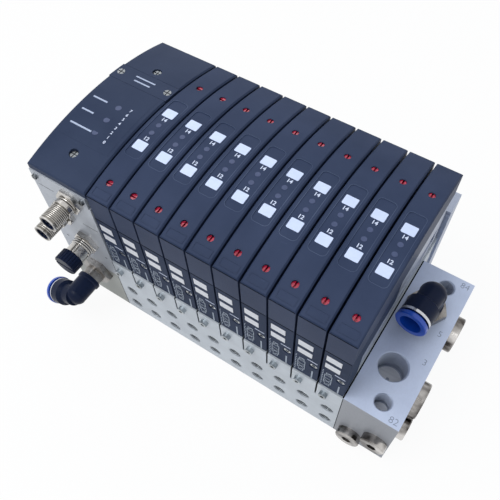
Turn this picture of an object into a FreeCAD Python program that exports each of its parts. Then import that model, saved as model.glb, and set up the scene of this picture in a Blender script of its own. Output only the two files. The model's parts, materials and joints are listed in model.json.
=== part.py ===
import FreeCAD
import Part
import math
import os

# Pneumatic valve island: ten slim valves in a row on one manifold, a bus module at the left end,
# a port end plate at the right end and a wiring duct along the back.
# X runs along the row to the right, -Y is the port side, Z is up. Millimetres.
# The origin is at the middle of the manifold's depth and of the island's length, on the underside.

# Row of stations
PITCH = 18.0
VALVE_COUNT = 10
LEFT_BLOCK_WIDTH = 46.5
PORT_PLATE_WIDTH = 36.5

# Manifold block
MANIFOLD_HEIGHT = 63.0
MANIFOLD_DEPTH = 136.0
STATION_SLOT_WIDTH = 1.2
STATION_SLOT_DEPTH = 17.5
STATION_SLOT_RUN = 6.0
OUTLET_THREAD_RADIUS = 4.45
OUTLET_CHAMFER = 0.55
OUTLET_DEPTH = 16.0
OUTLET_SHIFT = 1.0
UPPER_OUTLET_HEIGHT = 29.6
LOWER_OUTLET_HEIGHT = 10.6
MANIFOLD_SCREW_SHIFT = -3.3
MANIFOLD_SCREW_HEIGHT = 54.4
MANIFOLD_SCREW_HEAD_RADIUS = 2.75
MANIFOLD_SCREW_HEAD_LENGTH = 3.0
MANIFOLD_SCREW_SHANK_RADIUS = 1.5
MANIFOLD_SCREW_SHANK_LENGTH = 12.0
MANIFOLD_SCREW_SOCKET = 2.5
MANIFOLD_SCREW_SOCKET_DEPTH = 1.6

# Valves
VALVE_WIDTH = 16.6
VALVE_SETBACK = 0.8
VALVE_REAR_SETBACK = 1.2
GASKET_THICKNESS = 0.8
GASKET_INSET = 1.0
COVER_BOTTOM = 50.5
COVER_FRONT_HEIGHT = 73.9
COVER_CREST_RISE = 8.1
COVER_CREST_Y = 59.0
COVER_REAR_FALL = 3.9
COVER_EDGE = 0.9
COVER_SEAM = 0.5
COVER_SEAM_INSET = 0.4
WINDOW_HALF_WIDTH = 5.8
WINDOW_FRONT = 33.0
WINDOW_REAR = 85.0
WINDOW_CORNER = 3.0
WINDOW_RECESS = 0.35
WINDOW_CUT_RISE = 1.0
OVERRIDE_RADIUS = 2.5
OVERRIDE_HEIGHT = 6.0
OVERRIDE_RECESS = 1.2
OVERRIDE_CLEARANCE = 0.3
OVERRIDE_FLOOR_GAP = 0.2
OVERRIDE_SLOT_WIDTH = 1.1
OVERRIDE_SLOT_DEPTH = 1.6
TURNED_OVERRIDE_VALVES = 2
FRONT_OVERRIDE_Y = 13.0
REAR_OVERRIDE_Y = 103.2
LENS_RADIUS = 1.7
LENS_HEIGHT = 1.2
LENS_PROUD = 0.15
FRONT_LENS_Y = 54.0
REAR_LENS_Y = 61.0

# Lower part of each valve: a front cap and a body with a spool
FRONT_CAP_DEPTH = 18.0
FRONT_CAP_RIB_DEPTH = 42.0
FRONT_CAP_RIB_BOTTOM = 27.0
LABEL_SEAT_LEFT = -6.9
LABEL_SEAT_RIGHT = 3.1
UPPER_LABEL_BOTTOM = 38.6
UPPER_LABEL_HEIGHT = 7.0
LOWER_LABEL_BOTTOM = 28.8
LOWER_LABEL_HEIGHT = 6.6
LABEL_SEAT_DEPTH = 0.5
VALVE_SCREW_SHIFT = 4.6
VALVE_SCREW_HEIGHT = 19.2
VALVE_SCREW_POCKET_RADIUS = 2.9
VALVE_SCREW_POCKET_DEPTH = 4.5
VALVE_SCREW_HEAD_RADIUS = 2.4
VALVE_SCREW_HEAD_LENGTH = 3.3
VALVE_SCREW_SHANK_RADIUS = 1.4
VALVE_SCREW_SHANK_LENGTH = 20.0
BODY_SIDE_INSET = 0.7
BODY_RELIEF_DEPTH = 1.2
BODY_RELIEF_BOTTOM = 8.0
BODY_RELIEF_TOP = 22.0
SPOOL_BORE_RADIUS = 4.5
SPOOL_BORE_HEIGHT = 37.0
SPOOL_CLEARANCE = 0.1
SPOOL_END_WALL = 12.0
SPOOL_NECK_RADIUS = 2.6
SPOOL_LAND_LENGTH = 12.0
SPOOL_LAND_COUNT = 4

# Left end block and supply fitting
SUPPLY_THREAD_RADIUS = 8.3
SUPPLY_DEPTH = 20.0
SUPPLY_X_FROM_RIGHT = 19.2
SUPPLY_HEIGHT = 36.0
STEM_THREAD_LENGTH = 11.0
STEM_THREAD_CLEARANCE = 0.05
STEM_BORE_STEP = 2.5
BASE_SCREW_RADIUS = 2.5
BASE_SCREW_DEPTH = 14.0
BASE_SCREW_EDGE_X = 12.0
BASE_SCREW_EDGE_Y = 12.0

# Bus module
BUS_SIDE_GAP = 0.5
BUS_LIP_HEIGHT = 4.6
BUS_WALL = 2.5
ADDRESS_COVER_FRONT = 79.5
ADDRESS_COVER_REAR = 94.5
ADDRESS_COVER_THICKNESS = 2.4
ADDRESS_COVER_GAP = 0.2
ADDRESS_POCKET_DEPTH = 9.0
ADDRESS_POCKET_END = 8.5
ADDRESS_SCREW_INSET = 4.0
DIAL_RADIUS = 3.6
DIAL_HEIGHT = 4.0
DIAL_SPACING = 12.0
DIAL_SLOT_WIDTH = 1.0
DIAL_SLOT_DEPTH = 1.2
DIAL_CLEARANCE = 0.3
DIAL_SEAT_DEPTH = 2.0
BUS_SCREW_FRONT_Y = 18.5
BUS_SCREW_REAR_Y = 100.5
BUS_SCREW_POCKET_RADIUS = 3.1
BUS_SCREW_POCKET_DEPTH = 3.0
BUS_LENS_RADIUS = 2.0
BUS_LENS_Y = (36.5, 47.5, 59.0)
BUS_LENS_X = 2.4
CROSS_HEAD_RADIUS = 2.6
CROSS_HEAD_HEIGHT = 1.8
CROSS_HEAD_SHANK_RADIUS = 1.4
CROSS_HEAD_SHANK_LENGTH = 8.0
CROSS_HEAD_SLOT = 0.7
CROSS_HEAD_SLOT_DEPTH = 1.0

# Connector plate and round connectors
PLATE_THICKNESS = 2.0
PLATE_BOTTOM = 43.0
PLATE_TOP_GAP = 0.3
PLATE_STEP = 1.4
PLATE_STEP_HEIGHT = 59.0
PLATE_SCREW_INSET_X = 4.0
PLATE_SCREW_DROP = 4.6
PLATE_SCREW_HEAD_RADIUS = 2.0
PLATE_PORT_CLEARANCE = 0.3
CONNECTOR_RADIUS = 6.0
CONNECTOR_LENGTH = 20.8
CONNECTOR_WALL = 1.2
CONNECTOR_COLLAR_RADIUS = 8.6
CONNECTOR_COLLAR_LENGTH = 1.6
CONNECTOR_TAIL_LENGTH = 9.0
CONNECTOR_CLEARANCE = 0.1
NUT_ACROSS_FLATS = 17.0
NUT_LENGTH = 3.4
INSERT_RECESS = 2.4
BUS_IN_X = 30.5
BUS_IN_DROP = 11.4
BUS_OUT_X = 16.8
BUS_OUT_DROP = 33.0
POWER_X = 28.5
POWER_DROP = 58.4
POWER_CONNECTOR_LENGTH = 21.0
POWER_SLEEVE_RADIUS = 7.0
POWER_SLEEVE_LENGTH = 14.4
PIN_RADIUS = 0.6
PIN_LENGTH = 1.6
PIN_SPREAD = 2.0
CAP_RADIUS = 8.3
CAP_LENGTH = 8.6
CAP_END = 2.2
CAP_CLEARANCE = 0.3
CAP_FLUTE_COUNT = 24
CAP_FLUTE_RADIUS = 0.5
CAP_SLOT_WIDTH = 2.0
CAP_SLOT_DEPTH = 1.2

# Right port end plate
PORT_PLATE_DEPTH = 114.3
MAIN_PORT_RADIUS = 9.6
MAIN_PORT_DEPTH = 22.0
PILOT_PORT_RADIUS = 5.5
PILOT_PORT_DEPTH = 16.0
PORT_CHAMFER = 0.6
MAIN_PORT_X = 16.2
MAIN_PORT_Y = 34.5
MAIN_PORT_SPACING = 46.8
PILOT_PORT_X = 21.0
PILOT_PORT_Y = 11.4
SIDE_PLUG_DROP = 21.6
SIDE_PLUG_FRONT_Y = 32.7
SIDE_PLUG_REAR_Y = 86.3
SIDE_PLUG_SMALL_DROP = 40.0
PLUG_LARGE_RADIUS = 12.6
PLUG_LARGE_THREAD_RADIUS = 10.4
PLUG_SMALL_RADIUS = 8.4
PLUG_SMALL_THREAD_RADIUS = 6.5
SIDE_PLUG_SMALL_Y = 18.4
PLUG_FLANGE = 5.6
PLUG_HEX_ACROSS = 10.0
PLUG_SMALL_HEX_ACROSS = 6.0
PLUG_HEX_DEPTH = 3.2
PLUG_SHANK = 8.0
PLUG_THREAD_CLEARANCE = 0.05
PLUG_EDGE = 0.7
FRONT_PLUG_LEFT_X = 11.3
FRONT_PLUG_RIGHT_X = 27.4
FRONT_PLUG_LEFT_HEIGHT = 12.0
FRONT_PLUG_RIGHT_HEIGHT = 27.0

# Elbow fittings
LEFT_HEX_ACROSS = 22.0
LEFT_HEX_LENGTH = 4.5
LEFT_COLLAR_LENGTH = 6.0
LEFT_NECK_RADIUS = 6.0
LEFT_STEM_HEIGHT = 27.0
LEFT_BODY_RADIUS = 7.8
LEFT_OUTLET_RADIUS = 9.4
LEFT_OUTLET_LENGTH = 17.8
LEFT_TUBE_RADIUS = 6.0
LEFT_RING_RADIUS = 10.0
LEFT_OUTLET_FALL = 27.4
RIGHT_HEX_ACROSS = 23.5
RIGHT_HEX_LENGTH = 5.0
RIGHT_COLLAR_LENGTH = 1.5
RIGHT_NECK_RADIUS = 7.0
RIGHT_STEM_HEIGHT = 21.0
RIGHT_BODY_RADIUS = 8.6
RIGHT_OUTLET_RADIUS = 10.2
RIGHT_OUTLET_LENGTH = 22.4
RIGHT_TUBE_RADIUS = 7.0
RIGHT_RING_RADIUS = 10.6
RIGHT_OUTLET_TURN = 6.5
ELBOW_COLLAR_STEP = 1.3
ELBOW_RIM_STEP = 0.8
ELBOW_RIM_LENGTH = 2.4
ELBOW_SHOULDER = 8.5
ELBOW_SHOULDER_RISE = 2.0
ELBOW_CROWN = 5.2
ELBOW_SWIVEL_GAP = 0.3
ELBOW_NECK_CLEARANCE = 0.05
ELBOW_NECK_REACH = 7.0
TUBE_SOCKET_DEPTH = 17.0
TUBE_STOP_RADIUS_STEP = 1.5
RING_COLLAR = 2.6
RING_COLLAR_EDGE = 0.5
RING_SLEEVE_WALL = 1.1
RING_BORE_CLEARANCE = 0.1
RING_SLEEVE_LENGTH = 6.0
RING_TRAVEL = 1.5
RING_CLEARANCE = 0.3

# Wiring duct
DUCT_DEPTH = 17.6
DUCT_TOP = 94.0
DUCT_FOOT = 2.0
DUCT_GROOVE = 0.5
DUCT_OVERHANG = 1.7
DUCT_LID = 2.4

# Hexagons: turned corners
HEX_CHAMFER_ANGLE = 30.0
HEX_CORNER_ROOM = 0.5

# Tests that pick edges
UPRIGHT = 0.5
ON_ARCH = 0.01

# Places that follow from the sizes
ROW_LENGTH = PITCH * VALVE_COUNT
ISLAND_LENGTH = LEFT_BLOCK_WIDTH + ROW_LENGTH + PORT_PLATE_WIDTH
BUS_WIDTH = LEFT_BLOCK_WIDTH - BUS_SIDE_GAP
LEFT_END = -ISLAND_LENGTH / 2
ROW_LEFT = LEFT_END + LEFT_BLOCK_WIDTH
ROW_RIGHT = ROW_LEFT + ROW_LENGTH
RIGHT_END = ROW_RIGHT + PORT_PLATE_WIDTH
FRONT = -MANIFOLD_DEPTH / 2
BACK = MANIFOLD_DEPTH / 2
VALVE_FRONT = FRONT + VALVE_SETBACK
VALVE_BACK = BACK - VALVE_REAR_SETBACK
COVER_CREST_HEIGHT = COVER_FRONT_HEIGHT + COVER_CREST_RISE
COVER_REAR_HEIGHT = COVER_FRONT_HEIGHT - COVER_REAR_FALL
TOP = MANIFOLD_HEIGHT
X_AXIS = FreeCAD.Vector(1, 0, 0)
Y_AXIS = FreeCAD.Vector(0, 1, 0)
Z_AXIS = FreeCAD.Vector(0, 0, 1)


def vec(x, y, z):
    return FreeCAD.Vector(x, y, z)


def block(x0, x1, y0, y1, z0, z1):
    return Part.makeBox(x1 - x0, y1 - y0, z1 - z0, vec(x0, y0, z0))


def rod(radius, length, start, axis):
    return Part.makeCylinder(radius, length, start, axis)


def hexagon(across_flats, length, start, axis, turn=0.0):
    """A hexagonal prism whose first face starts at the point and runs along the axis."""
    corner = across_flats / math.sqrt(3)
    points = []
    for step in range(7):
        angle = math.radians(turn + 60 * step)
        points.append(vec(corner * math.cos(angle), corner * math.sin(angle), 0))
    prism = Part.Face(Part.makePolygon(points)).extrude(vec(0, 0, length))
    prism.Placement = FreeCAD.Placement(start, FreeCAD.Rotation(Z_AXIS, axis))
    return prism


def chamfered_hexagon(across_flats, length, start, axis):
    """A hexagonal prism along the axis, with the corners of its far end turned off."""
    flat = across_flats / 2
    wide = across_flats / math.sqrt(3) + HEX_CORNER_ROOM
    drop = (wide - flat) * math.tan(math.radians(HEX_CHAMFER_ANGLE))
    points = [(0, 0), (wide, 0), (wide, length - drop), (flat, length), (0, length)]
    return hexagon(across_flats, length, start, axis).common(revolved(points, start, axis))


def revolved(points, start, axis):
    """A turned piece from radius and length pairs, measured along the axis from the start point."""
    outline = [vec(radius, 0, length) for radius, length in points]
    outline.append(outline[0])
    solid = Part.Face(Part.makePolygon(outline)).revolve(vec(0, 0, 0), Z_AXIS, 360)
    solid.Placement = FreeCAD.Placement(start, FreeCAD.Rotation(Z_AXIS, axis))
    return solid


def rounded_window(x, half_width, y0, y1, corner, z0, z1):
    """A vertical prism with a rounded rectangular plan."""
    solid = block(x - half_width, x + half_width, y0, y1, z0, z1)
    upright = [edge for edge in solid.Edges if abs(edge.tangentAt(edge.FirstParameter).z) > UPRIGHT]
    return solid.makeFillet(corner, upright)


def station_x(index):
    return ROW_LEFT + PITCH * (index + 0.5)


def crest_circle():
    """Centre and radius, in the YZ plane, of the arc that all the covers share."""
    front = (VALVE_FRONT, TOP + COVER_FRONT_HEIGHT)
    crest = (VALVE_FRONT + COVER_CREST_Y, TOP + COVER_CREST_HEIGHT)
    rear = (VALVE_BACK, TOP + COVER_REAR_HEIGHT)
    circle = Part.Circle(vec(0, *front), vec(0, *crest), vec(0, *rear))
    return circle.Center.y, circle.Center.z, circle.Radius


CREST_Y, CREST_Z, CREST_RADIUS = crest_circle()


def cover_height(y):
    """Height of the covers' arched top at a place along Y."""
    return CREST_Z + math.sqrt(CREST_RADIUS ** 2 - (y - CREST_Y) ** 2)


def arched_body(x0, x1, y0, y1, bottom, drop=0.0):
    """A block with the covers' arched top, lowered by drop."""
    radius = CREST_RADIUS - drop
    ends = []
    for y in (y0, (y0 + y1) / 2, y1):
        ends.append(vec(x0, y, CREST_Z + math.sqrt(radius ** 2 - (y - CREST_Y) ** 2)))
    low_front = vec(x0, y0, bottom)
    low_rear = vec(x0, y1, bottom)
    edges = [
        Part.makeLine(low_front, ends[0]),
        Part.Arc(ends[0], ends[1], ends[2]).toShape(),
        Part.makeLine(ends[2], low_rear),
        Part.makeLine(low_rear, low_front),
    ]
    return Part.Face(Part.Wire(edges)).extrude(vec(x1 - x0, 0, 0))


def soften_top(solid, size):
    """Bevels the edges of an arched top."""
    edges = []
    for edge in solid.Edges:
        middle = edge.valueAt((edge.FirstParameter + edge.LastParameter) / 2)
        if abs(middle.z - cover_height(middle.y)) < ON_ARCH:
            edges.append(edge)
    return solid.makeChamfer(size, edges)


def override_seat(y):
    """Height of the floor under an override screw."""
    return cover_height(y) - OVERRIDE_RECESS - OVERRIDE_HEIGHT


def valve_cover(index):
    """Arched cover with a shallow window, two override wells and four lens seats."""
    x = station_x(index)
    half = VALVE_WIDTH / 2
    shape = arched_body(x - half, x + half, VALVE_FRONT, VALVE_BACK, TOP + COVER_BOTTOM)
    shape = soften_top(shape, COVER_EDGE)
    seam_bottom = TOP + COVER_BOTTOM
    seam_top = seam_bottom + COVER_SEAM
    window_top = TOP + COVER_CREST_HEIGHT + WINDOW_CUT_RISE
    outside = rounded_window(
        x, WINDOW_HALF_WIDTH, VALVE_FRONT + WINDOW_FRONT, VALVE_FRONT + WINDOW_REAR,
        WINDOW_CORNER, seam_top, window_top)
    below = arched_body(x - half, x + half, VALVE_FRONT, VALVE_BACK, TOP + COVER_BOTTOM, WINDOW_RECESS)
    shape = shape.cut(outside.cut(below))
    for y in (VALVE_FRONT + FRONT_OVERRIDE_Y, VALVE_FRONT + REAR_OVERRIDE_Y):
        floor = override_seat(y) - OVERRIDE_FLOOR_GAP
        well = rod(OVERRIDE_RADIUS + OVERRIDE_CLEARANCE, window_top - floor, vec(x, y, floor), Z_AXIS)
        shape = shape.cut(well)
    for y in (VALVE_FRONT + FRONT_LENS_Y, VALVE_FRONT + REAR_LENS_Y):
        floor = lens_floor(y, WINDOW_RECESS)
        shape = shape.cut(rod(LENS_RADIUS, window_top - floor, vec(x, y, floor), Z_AXIS))
    seam = block(x - half, x + half, VALVE_FRONT, VALVE_BACK, seam_bottom, seam_top)
    core = block(
        x - half + COVER_SEAM_INSET, x + half - COVER_SEAM_INSET,
        VALVE_FRONT + COVER_SEAM_INSET, VALVE_BACK - COVER_SEAM_INSET, seam_bottom, seam_top)
    return shape.cut(seam.cut(core))


def lens_floor(y, recess):
    return cover_height(y) - recess - LENS_HEIGHT


def override_screw(index, y):
    """Red slotted screw that works one pilot by hand. On the first valves it stands turned."""
    x = station_x(index)
    floor = override_seat(y)
    shape = rod(OVERRIDE_RADIUS, OVERRIDE_HEIGHT, vec(x, y, floor), Z_AXIS)
    top = floor + OVERRIDE_HEIGHT
    reach_x = OVERRIDE_SLOT_WIDTH / 2
    reach_y = OVERRIDE_RADIUS
    if index < TURNED_OVERRIDE_VALVES:
        reach_x, reach_y = reach_y, reach_x
    slot = block(x - reach_x, x + reach_x, y - reach_y, y + reach_y, top - OVERRIDE_SLOT_DEPTH, top)
    return shape.cut(slot)


def front_cap(index):
    """Dark cap under the cover: the front of the valve, with label seats and a screw pocket."""
    x = station_x(index)
    half = VALVE_WIDTH / 2
    bottom = TOP + GASKET_THICKNESS
    top = TOP + COVER_BOTTOM
    outline = [
        vec(x - half, VALVE_FRONT, bottom),
        vec(x - half, VALVE_FRONT, top),
        vec(x - half, VALVE_FRONT + FRONT_CAP_DEPTH + FRONT_CAP_RIB_DEPTH, top),
        vec(x - half, VALVE_FRONT + FRONT_CAP_DEPTH + FRONT_CAP_RIB_DEPTH, TOP + FRONT_CAP_RIB_BOTTOM),
        vec(x - half, VALVE_FRONT + FRONT_CAP_DEPTH, TOP + FRONT_CAP_RIB_BOTTOM),
        vec(x - half, VALVE_FRONT + FRONT_CAP_DEPTH, bottom),
        vec(x - half, VALVE_FRONT, bottom),
    ]
    shape = Part.Face(Part.makePolygon(outline)).extrude(vec(VALVE_WIDTH, 0, 0))
    for low, height in ((UPPER_LABEL_BOTTOM, UPPER_LABEL_HEIGHT), (LOWER_LABEL_BOTTOM, LOWER_LABEL_HEIGHT)):
        seat = block(
            x + LABEL_SEAT_LEFT, x + LABEL_SEAT_RIGHT, VALVE_FRONT, VALVE_FRONT + LABEL_SEAT_DEPTH,
            TOP + low, TOP + low + height)
        shape = shape.cut(seat)
    centre = vec(x + VALVE_SCREW_SHIFT, VALVE_FRONT, TOP + VALVE_SCREW_HEIGHT)
    shape = shape.cut(rod(VALVE_SCREW_POCKET_RADIUS, VALVE_SCREW_POCKET_DEPTH, centre, Y_AXIS))
    return shape.cut(rod(VALVE_SCREW_SHANK_RADIUS, FRONT_CAP_DEPTH, centre, Y_AXIS))


def valve_screw(index):
    centre_x = station_x(index) + VALVE_SCREW_SHIFT
    seat = vec(centre_x, VALVE_FRONT + VALVE_SCREW_POCKET_DEPTH, TOP + VALVE_SCREW_HEIGHT)
    head = rod(VALVE_SCREW_HEAD_RADIUS, VALVE_SCREW_HEAD_LENGTH, seat, -Y_AXIS)
    shank = rod(VALVE_SCREW_SHANK_RADIUS, VALVE_SCREW_SHANK_LENGTH, seat, Y_AXIS)
    socket_start = seat - Y_AXIS * VALVE_SCREW_HEAD_LENGTH
    socket = hexagon(VALVE_SCREW_HEAD_RADIUS, VALVE_SCREW_HEAD_LENGTH / 2, socket_start, Y_AXIS)
    return head.fuse(shank).cut(socket).removeSplitter()


def valve_body(index):
    """Aluminium body behind the front cap, bored for the spool and relieved along both sides."""
    x = station_x(index)
    half = VALVE_WIDTH / 2 - BODY_SIDE_INSET
    bottom = TOP + GASKET_THICKNESS
    top = TOP + COVER_BOTTOM
    cap_back = VALVE_FRONT + FRONT_CAP_DEPTH
    rib_back = cap_back + FRONT_CAP_RIB_DEPTH
    lower = block(x - half, x + half, cap_back, VALVE_BACK, bottom, TOP + FRONT_CAP_RIB_BOTTOM)
    upper = block(x - half, x + half, rib_back, VALVE_BACK, TOP + FRONT_CAP_RIB_BOTTOM, top)
    shape = lower.fuse(upper).removeSplitter()
    for side in (-1, 1):
        edge = x + side * half
        inner = edge - side * BODY_RELIEF_DEPTH
        relief = block(
            min(edge, inner), max(edge, inner),
            cap_back + BODY_RELIEF_BOTTOM, VALVE_BACK - BODY_RELIEF_BOTTOM,
            TOP + BODY_RELIEF_BOTTOM, TOP + BODY_RELIEF_TOP)
        shape = shape.cut(relief)
    bore_start = vec(x, rib_back, TOP + SPOOL_BORE_HEIGHT)
    shape = shape.cut(rod(SPOOL_BORE_RADIUS, spool_bore_length(), bore_start, Y_AXIS))
    screw = vec(x + VALVE_SCREW_SHIFT, cap_back, TOP + VALVE_SCREW_HEIGHT)
    reach = VALVE_SCREW_SHANK_LENGTH + VALVE_SCREW_POCKET_DEPTH - FRONT_CAP_DEPTH
    return shape.cut(rod(VALVE_SCREW_SHANK_RADIUS, reach, screw, Y_AXIS))


def spool_bore_length():
    return VALVE_BACK - VALVE_FRONT - FRONT_CAP_DEPTH - FRONT_CAP_RIB_DEPTH - SPOOL_END_WALL


def spool(index):
    """Spool with sealing lands and necks between them."""
    radius = SPOOL_BORE_RADIUS - SPOOL_CLEARANCE
    length = spool_bore_length()
    step = (length - SPOOL_LAND_LENGTH) / (SPOOL_LAND_COUNT - 1)
    points = [(0, 0)]
    for land in range(SPOOL_LAND_COUNT):
        start = land * step
        points.append((radius, start))
        points.append((radius, start + SPOOL_LAND_LENGTH))
        if land < SPOOL_LAND_COUNT - 1:
            points.append((SPOOL_NECK_RADIUS, start + SPOOL_LAND_LENGTH))
            points.append((SPOOL_NECK_RADIUS, start + step))
    points.append((0, length))
    start = VALVE_FRONT + FRONT_CAP_DEPTH + FRONT_CAP_RIB_DEPTH
    return revolved(points, vec(station_x(index), start, TOP + SPOOL_BORE_HEIGHT), Y_AXIS)


def gasket(index):
    x = station_x(index)
    half = VALVE_WIDTH / 2 - GASKET_INSET
    return block(
        x - half, x + half, VALVE_FRONT + GASKET_INSET, VALVE_BACK - GASKET_INSET,
        TOP, TOP + GASKET_THICKNESS)


def manifold_block():
    """Drilled block with two rows of outlets, a row of screw holes and a slot between stations."""
    shape = block(ROW_LEFT, ROW_RIGHT, FRONT, BACK, 0, TOP)
    for index in range(VALVE_COUNT):
        x = station_x(index)
        for height in (UPPER_OUTLET_HEIGHT, LOWER_OUTLET_HEIGHT):
            mouth = vec(x + OUTLET_SHIFT, FRONT, height)
            shape = shape.cut(port_hole(OUTLET_THREAD_RADIUS, OUTLET_DEPTH, OUTLET_CHAMFER, mouth, Y_AXIS))
        screw = vec(x + MANIFOLD_SCREW_SHIFT, FRONT, MANIFOLD_SCREW_HEIGHT)
        shape = shape.cut(rod(MANIFOLD_SCREW_SHANK_RADIUS, MANIFOLD_SCREW_SHANK_LENGTH, screw, Y_AXIS))
        if index < VALVE_COUNT - 1:
            middle = x + PITCH / 2
            slot = block(
                middle - STATION_SLOT_WIDTH / 2, middle + STATION_SLOT_WIDTH / 2,
                FRONT, FRONT + STATION_SLOT_RUN, TOP - STATION_SLOT_DEPTH, TOP)
            shape = shape.cut(slot)
    return shape


def port_hole(radius, depth, chamfer, mouth, axis):
    """A blind hole with a chamfered mouth, to be cut from a block."""
    points = [(0, 0), (radius + chamfer, 0), (radius, chamfer), (radius, depth), (0, depth)]
    return revolved(points, mouth, axis)


def manifold_screw(index):
    """Socket head screw on the manifold's front."""
    seat = vec(station_x(index) + MANIFOLD_SCREW_SHIFT, FRONT, MANIFOLD_SCREW_HEIGHT)
    head = rod(MANIFOLD_SCREW_HEAD_RADIUS, MANIFOLD_SCREW_HEAD_LENGTH, seat, -Y_AXIS)
    shank = rod(MANIFOLD_SCREW_SHANK_RADIUS, MANIFOLD_SCREW_SHANK_LENGTH, seat, Y_AXIS)
    face = seat - Y_AXIS * MANIFOLD_SCREW_HEAD_LENGTH
    socket = hexagon(MANIFOLD_SCREW_SOCKET, MANIFOLD_SCREW_SOCKET_DEPTH, face, Y_AXIS)
    return head.fuse(shank).cut(socket).removeSplitter()


SUPPLY_CENTRE = vec(ROW_LEFT - SUPPLY_X_FROM_RIGHT, FRONT, SUPPLY_HEIGHT)
BASE_SCREW_REAR_Y = FRONT + PORT_PLATE_DEPTH - BASE_SCREW_EDGE_Y


def base_holes(shape, x):
    """Two tapped holes in the underside of an end piece."""
    for y in (FRONT + BASE_SCREW_EDGE_Y, BASE_SCREW_REAR_Y):
        shape = shape.cut(rod(BASE_SCREW_RADIUS, BASE_SCREW_DEPTH, vec(x, y, 0), Z_AXIS))
    return shape


def left_end_block():
    """Solid end block under the bus module, with the supply port and a rebate for the plate."""
    shape = block(LEFT_END, ROW_LEFT, FRONT, BACK, 0, TOP)
    rebate = block(LEFT_END, ROW_LEFT, FRONT, FRONT + PLATE_THICKNESS, PLATE_BOTTOM, TOP)
    shape = shape.cut(rebate)
    shape = shape.cut(rod(SUPPLY_THREAD_RADIUS, SUPPLY_DEPTH, SUPPLY_CENTRE, Y_AXIS))
    return base_holes(shape, LEFT_END + BASE_SCREW_EDGE_X)


MAIN_PORT_CENTRE_X = ROW_RIGHT + MAIN_PORT_X
PORT_3 = vec(MAIN_PORT_CENTRE_X, FRONT + MAIN_PORT_Y, TOP)
PORT_5 = vec(MAIN_PORT_CENTRE_X, FRONT + MAIN_PORT_Y + MAIN_PORT_SPACING, TOP)
PORT_82 = vec(ROW_RIGHT + PILOT_PORT_X, FRONT + PILOT_PORT_Y, TOP)
PORT_84 = vec(ROW_RIGHT + PILOT_PORT_X, FRONT + PORT_PLATE_DEPTH - PILOT_PORT_Y, TOP)


def plug_places():
    """Seat, axis into the plate, flange radius, thread radius and socket size of each plug."""
    large = (PLUG_LARGE_RADIUS, PLUG_LARGE_THREAD_RADIUS, PLUG_HEX_ACROSS)
    small = (PLUG_SMALL_RADIUS, PLUG_SMALL_THREAD_RADIUS, PLUG_SMALL_HEX_ACROSS)
    return [
        (vec(RIGHT_END, FRONT + SIDE_PLUG_FRONT_Y, TOP - SIDE_PLUG_DROP), -X_AXIS, *large),
        (vec(RIGHT_END, FRONT + SIDE_PLUG_REAR_Y, TOP - SIDE_PLUG_DROP), -X_AXIS, *large),
        (vec(RIGHT_END, FRONT + SIDE_PLUG_SMALL_Y, TOP - SIDE_PLUG_SMALL_DROP), -X_AXIS, *small),
        (vec(ROW_RIGHT + FRONT_PLUG_LEFT_X, FRONT, FRONT_PLUG_LEFT_HEIGHT), Y_AXIS, *small),
        (vec(ROW_RIGHT + FRONT_PLUG_RIGHT_X, FRONT, FRONT_PLUG_RIGHT_HEIGHT), Y_AXIS, *small),
    ]


def port_end_plate():
    """End plate with two exhaust ports and two pilot exhausts on top, and plugged ports elsewhere."""
    shape = block(ROW_RIGHT, RIGHT_END, FRONT, FRONT + PORT_PLATE_DEPTH, 0, TOP)
    for port in (PORT_3, PORT_5):
        shape = shape.cut(port_hole(MAIN_PORT_RADIUS, MAIN_PORT_DEPTH, PORT_CHAMFER, port, -Z_AXIS))
    for port in (PORT_82, PORT_84):
        shape = shape.cut(port_hole(PILOT_PORT_RADIUS, PILOT_PORT_DEPTH, PORT_CHAMFER, port, -Z_AXIS))
    for seat, axis, flange, thread, socket in plug_places():
        shape = shape.cut(rod(thread + PLUG_THREAD_CLEARANCE, PLUG_SHANK, seat, axis))
    return base_holes(shape, RIGHT_END - BASE_SCREW_EDGE_X)


def port_plug(seat, axis, flange, thread, socket):
    """Flanged plug with a hexagon socket, screwed into a port."""
    points = [
        (0, -PLUG_FLANGE),
        (flange - PLUG_EDGE, -PLUG_FLANGE),
        (flange, PLUG_EDGE - PLUG_FLANGE),
        (flange, 0),
        (thread, 0),
        (thread, PLUG_SHANK),
        (0, PLUG_SHANK),
    ]
    face = seat - axis * PLUG_FLANGE
    return revolved(points, seat, axis).cut(hexagon(socket, PLUG_HEX_DEPTH, face, axis))


def elbow_stem(seat, out, thread_radius, hex_across, stem):
    """Hexagon stem of an elbow fitting: thread in the port, collar, and neck for the swivelling body."""
    hex_length, collar_length, neck_radius, _ = stem
    foot = hex_length + collar_length
    points = [
        (neck_radius - STEM_BORE_STEP, -STEM_THREAD_LENGTH),
        (thread_radius - STEM_THREAD_CLEARANCE, -STEM_THREAD_LENGTH),
        (thread_radius - STEM_THREAD_CLEARANCE, 0),
        (neck_radius + ELBOW_COLLAR_STEP, 0),
        (neck_radius + ELBOW_COLLAR_STEP, foot),
        (neck_radius, foot),
        (neck_radius, foot + ELBOW_NECK_REACH),
        (neck_radius - STEM_BORE_STEP, foot + ELBOW_NECK_REACH),
    ]
    turned = revolved(points, seat, out)
    nut = chamfered_hexagon(hex_across, hex_length, seat, out)
    bore = rod(neck_radius - STEM_BORE_STEP, hex_length, seat, out)
    return turned.fuse(nut.cut(bore)).removeSplitter()


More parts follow.
